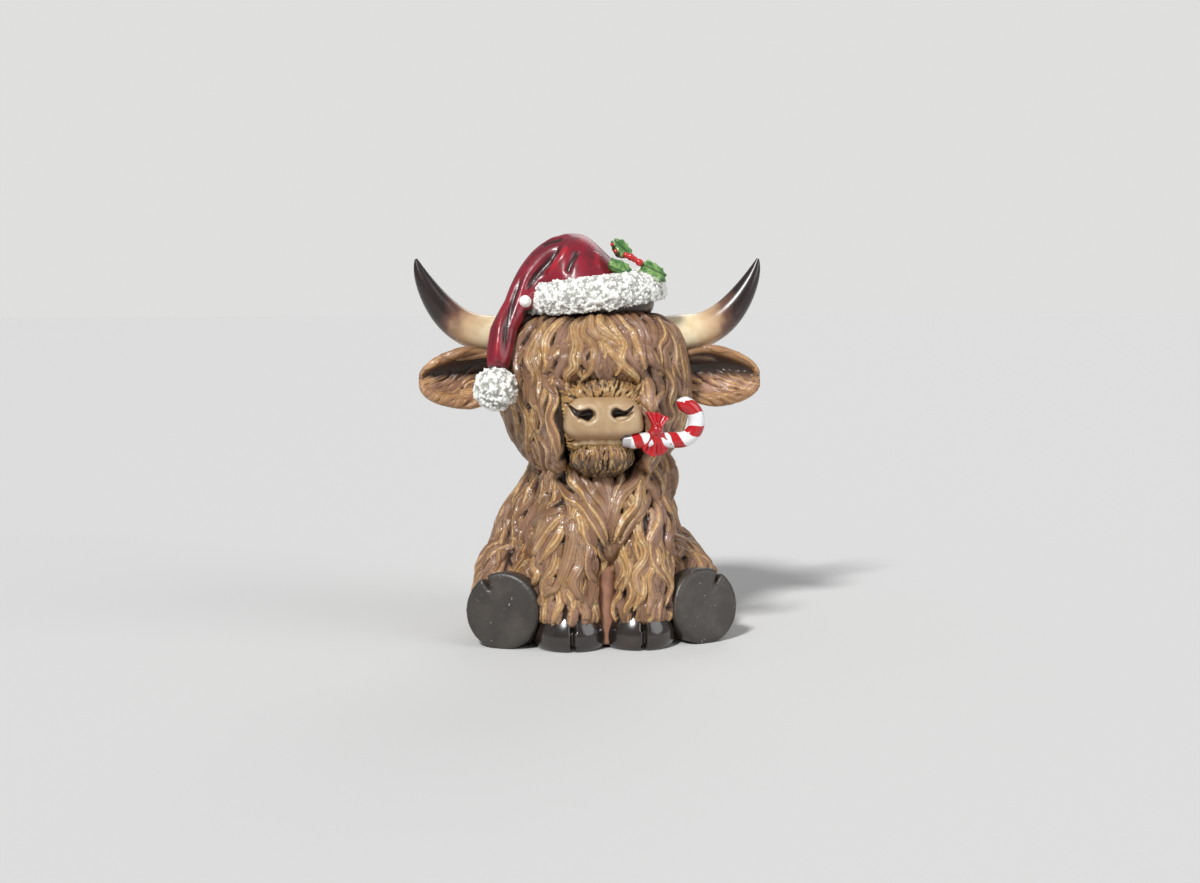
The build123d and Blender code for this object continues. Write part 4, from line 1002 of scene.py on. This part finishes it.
# painted highlight: the raised folds are painted a brighter crimson
fold_highlight_share = hat_paint.spread(hat_paint.value("lifted"), 0.1, 0.8, 0.0, 0.8)
tone = hat_paint.blend(fold_highlight_share, tone, highlight_crimson)
wash = hat_paint.spread(hat_paint.speckle(3.4, 6, (1, 1, 0.45)), 0.52, 0.70)
wash = hat_paint.reckon("MULTIPLY", wash, 0.75)
tone = hat_paint.blend(wash, tone, srgb(72, 30, 30))
# brown wash and painted shade: the creases are darkened near black
crease_shade_share = hat_paint.spread(hat_paint.value("crease"), 0.15, 0.8, 0.0, 0.92)
tone = hat_paint.blend(crease_shade_share, tone, srgb(46, 26, 24))
# painted shade: the crown below the trim is painted dark brown, like the hair in shade there
tone = hat_paint.blend(hat_paint.value("under"), tone, srgb(52, 34, 26))
hat_paint.colour(tone)
hat_paint.bump(hat_paint.speckle(1.6, 6), 0.10)
coated(hat, hat_paint)
resting_on(hat, "hat_red", "hat")


# The trim and the pompom are thick white paste stippled on while wet, so they are all lumps
# and pits, and the pits are painted grey as painted shade; one smooth drop of it hangs at the
# trim's left end.
trim_grain, trim_height, pompom_grain, pompom_height = 1.5, 1.2, 1.7, 1.5
drop_radius, drop_side, drop_height = 2.4, -27.6, 126.4
lump_density, cell_gain, cell_share, crumb_share, lump_level = 1.6, 1.8, 0.6, 0.5, 0.35
paste_white, pit_shade_grey, speck_grey = srgb(248, 248, 243), srgb(168, 167, 160), srgb(176, 175, 167)


def stipple(piece, grain, height, smooth_spots=(), seed=3):
    """Raises close lumps of about the given grain over a piece and stores how high they are."""
    points, normals = vertex_data(piece.data, "co") / mm, vertex_data(piece.data, "normal")
    rolls = np.random.default_rng(seed)
    low, high = points.min(0), points.max(0)
    count = int(np.prod((high - low) / grain) * lump_density)
    spots = low + rolls.random((count, 3)) * (high - low)
    sizes = rolls.uniform(0.7, 1.3, count)
    tree = KDTree(count)
    for i, spot in enumerate(spots):
        tree.insert(spot, i)
    tree.balance()
    lump = np.zeros(len(points))
    for i, point in enumerate(points):
        (_, nearest, near), (_, _, next_near) = tree.find_n(point, 2)
        cells = min(1.0, max(0.0, next_near - near) / grain * cell_gain) ** 0.5 * sizes[nearest]
        crumbs = noise.turbulence(Vector(point) / grain * 0.8, 3, False)
        lump[i] = cell_share * cells + crumb_share * crumbs
    calm = np.ones(len(points))
    for centre, radius in smooth_spots:
        away = np.linalg.norm(points - np.array(centre), axis=1)
        calm = np.minimum(calm, np.clip(away / radius - 1, 0.08, 1))
    reshape(piece, points + normals * ((lump - lump_level) * height * calm)[:, None])
    store(piece, lump=lump * calm + (1 - calm) * 0.9)


paste = Paint("snow_paste", 0.5, 0.15)
# painted shade: the pits between the lumps are painted grey
tone = paste.blend(paste.spread(paste.value("lump"), 0.08, 0.40), pit_shade_grey, paste_white)
tone = paste.blend(paste.spread(paste.speckle(0.9, 4), 0.30, 0.40, 0.7, 0.0), tone, speck_grey)
paste.colour(tone)
paste.bump(paste.speckle(0.8, 5), 0.16)
drop_place = tuple(np.array(seen(drop_side, drop_height, hat_tree)) / mm)
trim_shape = cad_copy(("hat_trim",))
add_ball(trim_shape, drop_place, (drop_radius, drop_radius, drop_radius))
trim = soften(trim_shape, "hat_trim_paste", cell=0.8 * mm, rounds=4, swell=0.1 * mm, levels=1)
stipple(trim, trim_grain, trim_height, ((drop_place, drop_radius + 0.4),))
pompom = soften(cad_copy(("pompom",)), "pompom_paste", cell=0.8 * mm, rounds=4, swell=0.1 * mm,
                levels=1)
stipple(pompom, pompom_grain, pompom_height, seed=5)
for piece, node in ((trim, "hat_trim"), (pompom, "pompom")):
    coated(piece, paste)
    resting_on(piece, "snow_paste", node)


# The holly leaves are three thin spiny castings pressed onto the trim and the crown, with a
# midrib and side ribs pressed in, painted green and frosted towards their edges.
green, pale_green = srgb(70, 118, 58), srgb(132, 170, 96)
vein_green, frost_green = srgb(30, 58, 30), srgb(190, 206, 170)
leaf_green = Paint("holly_leaf_paint", 0.34, 0.3)
tone = leaf_green.blend(leaf_green.spread(leaf_green.speckle(3.5, 5), 0.38, 0.66), green, pale_green)
tone = leaf_green.blend(leaf_green.spread(leaf_green.value("vein"), 0.2, 0.9, 0.0, 0.8), tone, vein_green)
frosted = leaf_green.spread(leaf_green.value("frost"), 0.3, 1.0, 0.0, 0.75)
tone = leaf_green.blend(frosted, tone, frost_green)
leaf_green.colour(tone)
leaf_outlines = (
    # the tips of the spines in order, as the camera sees them
    ((3.0, 147.9), (4.6, 148.9), (7.4, 148.7), (9.4, 146.7), (11.0, 144.3), (11.4, 142.6), (9.2, 141.8),
     (7.2, 142.2), (5.4, 144.0), (3.8, 146.3)),
    ((2.2, 140.6), (3.4, 141.9), (7.4, 140.9), (9.8, 139.4), (11.0, 137.4), (9.4, 135.9), (7.2, 135.7),
     (4.2, 137.6), (2.0, 138.9)),
    ((13.8, 140.4), (16.6, 141.5), (19.2, 140.3), (22.1, 137.9), (23.7, 135.4), (23.4, 133.2),
     (20.1, 133.2), (16.2, 135.2), (12.8, 137.0)),
)
sprig_facing = Vector((0.30, -0.78, 0.55)).normalized()
sprig_rise = 1.3
sprig_place = Vector((13.2, -16.5, 139.6)) * mm + sprig_facing * sprig_rise * mm
# shares of the outline and heights over the sprig's plane, from the leaf's face to its back
leaf_rings = ((0.72, 1.0), (1.0, 0.45), (1.0, -0.35), (0.5, -4.0))
spine_hollow, rib_width, rib_press = 0.16, 0.4, 0.3
side_rib_pitch, side_rib_slant, side_rib_press = 1.9, 1.6, 0.2


def on_sprig(x, z):
    """The point of the sprig's plane that the camera sees through (x, z) on the sight plane."""
    aim = (Vector((x * mm, sight_plane, z * mm)) - camera_place).normalized()
    return camera_place + aim * ((sprig_place - camera_place).dot(sprig_facing) / aim.dot(sprig_facing))


def leaf_solid(outline):
    """A leaf with a spiny edge, in rings from its face to its back."""
    tips = [on_sprig(x, z) for x, z in outline]
    middle = sum(tips, Vector()) / len(tips)
    edge = []
    for here, after in zip(tips, tips[1:] + tips[:1]):
        edge += [here, here.lerp(after, 0.5).lerp(middle, spine_hollow)]
    shape = bmesh.new()
    rings = [[shape.verts.new(middle + (p - middle) * size + sprig_facing * (back * mm)) for p in edge]
             for size, back in leaf_rings]
    for ring, after in zip(rings, rings[1:]):
        for i in range(len(edge)):
            j = (i + 1) % len(edge)
            shape.faces.new((ring[i], ring[j], after[j], after[i]))
    shape.faces.new(rings[0])
    shape.faces.new(list(reversed(rings[-1])))
    bmesh.ops.triangulate(shape, faces=[f for f in shape.faces if len(f.verts) > 4])
    bmesh.ops.recalc_face_normals(shape, faces=shape.faces)
    return shape


for number, outline in enumerate(leaf_outlines, 1):
    node = f"holly_leaf_{number}"
    leaf = soften(leaf_solid(outline), f"{node}_cast", cell=0.3 * mm, rounds=2, swell=0.02 * mm, levels=0)
    coated(leaf, leaf_green)
    points = vertex_data(leaf.data, "co") / mm
    middle = points.mean(0)
    axes = np.linalg.svd(points - middle, full_matrices=False)[2]
    along, across = (points - middle) @ axes[0], (points - middle) @ axes[1]
    rib = np.exp(-(across / rib_width) ** 2)
    side_ribs = np.cos(along * side_rib_pitch + np.abs(across) * side_rib_slant)
    side_ribs = np.clip(side_ribs * 2 - 1.1, 0, 1)
    side_ribs = side_ribs * np.clip(np.abs(across) - 0.3, 0, 1)
    normals = vertex_data(leaf.data, "normal")
    reshape(leaf, points - normals * (rib * rib_press + side_ribs * side_rib_press)[:, None])
    store(leaf, vein=np.maximum(rib, side_ribs * 0.7), frost=np.clip(np.abs(across) / 3.4, 0, 1) ** 3)
    resting_on(leaf, "holly_green", node)


# The holly berries are small glossy red beads set close together on the sprig's stem.
# Four stand where the leaves meet, and two smaller ones by the upper leaf.
berry_spots = (
    # place as the camera sees it, and radius
    (8.4, 142.4, 1.15), (10.1, 141.6, 1.35), (11.5, 140.9, 1.15), (13.2, 139.7, 1.4),
    (3.5, 146.4, 0.7), (4.7, 144.0, 0.75),
)
berry_shape = bmesh.new()
for x, z, radius in berry_spots:
    spot = Matrix.Translation(on_sprig(x, z) + sprig_facing * radius * 0.7 * mm)
    bmesh.ops.create_icosphere(berry_shape, subdivisions=4, radius=radius * mm, matrix=spot)
berries = soften(berry_shape, "berry_cluster", cell=0.25 * mm, rounds=2, swell=0.02 * mm, levels=0)
berry_paint = Paint("berry_paint", 0.15, 0.7)
berry_paint.colour(srgb(196, 22, 26))
coated(berries, berry_paint)
resting_on(berries, "berry_red", "holly_berries")


# The candy cane is a round bar bent to a hook and held in the mouth by its plain end, white
# with painted red bands that wind round it.
cane_height, cane_forward, cane_radius = 76.7, 45.0, 2.9
cane_start, cane_straight = 6.5, 20.5
hook_radius, hook_turn = 6.6, 160.0
cane_step, hook_steps = 0.6, 32
cane_end, cane_end_step, bare_length = (0.94, 0.8, 0.55, 0.2), 0.28, (2.4, 3.4)
band_places = (-1.4, 5.5, 12.4, 19.3, 27.5, 36.4, 60.0)
band_share, band_edge, band_wobble, winding_start = 0.47, 0.012, 0.18, 40.75
cane_white, cane_red, bare_resin = srgb(236, 236, 238), srgb(186, 20, 28), srgb(176, 172, 172)
cane_run = [(cane_start + i * cane_step, -cane_forward, cane_height)
            for i in range(int(cane_straight / cane_step))]
for i in range(hook_steps + 1):
    turn = math.radians(hook_turn * i / hook_steps)
    cane_run.append((cane_start + cane_straight + hook_radius * math.sin(turn), -cane_forward,
                     cane_height + hook_radius * (1 - math.cos(turn))))
ahead = Vector(cane_run[-1]) - Vector(cane_run[-2])
for _ in cane_end:
    cane_run.append(tuple(Vector(cane_run[-1]) + ahead.normalized() * cane_radius * cane_end_step))
sizes = [cane_radius * min(1.0, 0.7 + 0.05 * i) for i in range(len(cane_run) - len(cane_end))]
sizes += [cane_radius * share for share in cane_end]
cane = bar(cane_run, sizes, "candy_cane_bar", 28)
travel = np.empty(len(cane.data.vertices), np.float32)
cane.data.attributes["along"].data.foreach_get("value", travel)
store(cane, phase=np.interp(travel, band_places, range(len(band_places))))
cane_paint = Paint("cane_paint", 0.18, 0.6)
turn = cane_paint.reckon("ARCTAN2", cane_paint.value("out"), cane_paint.value("up"))
winding = cane_paint.reckon("DIVIDE", turn, 2 * math.pi)
phase = cane_paint.reckon("SUBTRACT", cane_paint.value("phase"), winding)
wobble = cane_paint.reckon("SUBTRACT", cane_paint.speckle(3), 0.5)
wobble = cane_paint.reckon("MULTIPLY", wobble, band_wobble)
phase = cane_paint.reckon("ADD", cane_paint.reckon("ADD", phase, wobble), winding_start)
band = cane_paint.reckon("FRACT", phase, 0.0)
band = cane_paint.reckon("ABSOLUTE", cane_paint.reckon("SUBTRACT", band, 0.5), 0.0)
band = cane_paint.spread(band, band_share / 2 - band_edge, band_share / 2 + band_edge, 1.0, 0.0)
bare_end = cane_paint.spread(cane_paint.value("along"), *bare_length)
tone = cane_paint.blend(bare_end, bare_resin, cane_white)
cane_paint.colour(cane_paint.blend(cane_paint.reckon("MULTIPLY", band, bare_end), tone, cane_red))
cane_paint.bump(cane_paint.speckle(2.4, 3), 0.10)
coated(cane, cane_paint)
resting_on(cane, "cane_white", "candy_cane")


# The bow is a pleated ribbon moulded onto the cane and painted glossy red: a knot in front
# of the cane, with a fan of folds above it and a wider one below.
bow_middle = Vector((18.7, -48.0, 80.6))
fans = (
    # first and last angle from straight up, pleats, then the reach at even steps across the fan
    (-30.0, 46.0, 2.0, (7.9, 6.5, 6.2, 5.9, 6.4)),
    (133.0, 230.0, 3.5, (7.4, 8.7, 9.9, 9.4, 7.2)),
)
pleat_depth, ribbon_thickness, fan_lean, fan_throat, flat_throat = 0.8, 1.6, 0.9, 0.12, 0.35
knot_back, knot_radii = 1.6, (2.3, 3.0, 2.5)
tie_back, tie_drop, tie_radii = 2.6, 1.6, (2.8, 2.6, 3.0)
bow_red, dark_bow_red = srgb(190, 16, 28), srgb(158, 14, 24)
bow_shape = bmesh.new()
for first, last, pleats, reaches in fans:
    fan = bmesh.new()
    bmesh.ops.create_grid(fan, x_segments=30, y_segments=14, size=0.5)
    for vert in fan.verts:
        across, outward = vert.co.x + 0.5, vert.co.y + 0.5
        turn = math.radians(first + (last - first) * across)
        reach = float(np.interp(across, np.linspace(0, 1, len(reaches)), reaches))
        reach *= fan_throat + (1 - fan_throat) * outward
        fold = -math.cos(2 * math.pi * pleats * across) * pleat_depth
        fold *= flat_throat + (1 - flat_throat) * outward
        spot = Vector((math.sin(turn) * reach, fold + fan_lean * outward, math.cos(turn) * reach))
        vert.co = (bow_middle + spot) * mm
    bmesh.ops.recalc_face_normals(fan, faces=fan.faces)
    bmesh.ops.solidify(fan, geom=fan.faces[:], thickness=ribbon_thickness * mm)
    bmesh.ops.recalc_face_normals(fan, faces=fan.faces)
    joined = bpy.data.meshes.new("fan")
    fan.to_mesh(joined)
    fan.free()
    bow_shape.from_mesh(joined)
add_ball(bow_shape, bow_middle + Vector((0, knot_back, 0)), knot_radii)
add_ball(bow_shape, bow_middle + Vector((0, tie_back, -tie_drop)), tie_radii)
bow = soften(bow_shape, "bow_ribbon", cell=0.32 * mm, rounds=3, swell=0.02 * mm, levels=1)
bow_paint = Paint("bow_paint", 0.2, 0.6)
bow_paint.colour(bow_paint.blend(bow_paint.spread(bow_paint.speckle(3), 0.4, 0.7), bow_red, dark_bow_red))
bow_paint.bump(bow_paint.speckle(1.5, 3), 0.08)
coated(bow, bow_paint)
resting_on(bow, "bow_red", "bow")


# The figure stands on a plain pale floor that runs out into a backdrop of the same tone.
# A soft lamp shines from the upper left of the camera, with weak ones from the right and back.
floor_grey, backdrop_grey = (0.66, 0.66, 0.65, 1.0), (0.74, 0.74, 0.73, 1.0)
sky_white, sky_strength, floor_half = (0.95, 0.97, 1.0, 1.0), 0.30, 3.0
floor_shape = bmesh.new()
bmesh.ops.create_grid(floor_shape, x_segments=1, y_segments=1, size=floor_half)
floor = show(floor_shape, "floor")
floor_paint = Paint("floor_paint", 0.8)
floor_paint.colour(floor_grey)
floor_paint.shader.inputs["Specular IOR Level"].default_value = 0.1
floor.data.materials.append(floor_paint.material)
world = bpy.data.worlds.new("studio")
bpy.context.scene.world = world
world.use_nodes = True
light, backdrop = world.node_tree.nodes["Background"], world.node_tree.nodes.new("ShaderNodeBackground")
light.inputs["Color"].default_value = sky_white
light.inputs["Strength"].default_value = sky_strength
backdrop.inputs["Color"].default_value = backdrop_grey
seen_by = world.node_tree.nodes.new("ShaderNodeLightPath")
mixed = world.node_tree.nodes.new("ShaderNodeMixShader")
for source, target in ((seen_by.outputs["Is Camera Ray"], mixed.inputs[0]),
                       (light.outputs[0], mixed.inputs[1]), (backdrop.outputs[0], mixed.inputs[2]),
                       (mixed.outputs[0], world.node_tree.nodes["World Output"].inputs[0])):
    world.node_tree.links.new(source, target)


def lamp(name, shines_from, strength, softness):
    light = bpy.data.lights.new(name, "SUN")
    light.energy, light.angle = strength, math.radians(softness)
    holder = bpy.data.objects.new(name, light)
    holder.rotation_euler = (-Vector(shines_from)).to_track_quat("-Z", "Y").to_euler()
    bpy.context.scene.collection.objects.link(holder)


lamp("key_lamp", (-0.42, -0.62, 0.74), 2.9, 9)
lamp("fill_lamp", (0.8, -0.5, 0.42), 0.8, 40)
lamp("back_lamp", (0.3, 0.8, 0.55), 0.4, 30)


# The camera stands a little to the figure's right and above it, at arm's length, with the
# lens of a close portrait.
lens = bpy.data.cameras.new("photo_camera")
lens.lens, lens.sensor_width = 54.0, 36.0
lens.clip_start, lens.clip_end = 0.01, 20.0
viewer = bpy.data.objects.new("photo_camera", lens)
viewer.location = camera_place
viewer.rotation_mode = "QUATERNION"
viewer.rotation_quaternion = (-camera_back).to_track_quat("-Z", "Y")
bpy.context.scene.collection.objects.link(viewer)
bpy.context.scene.camera = viewer
bpy.context.scene.view_settings.view_transform = "Standard"
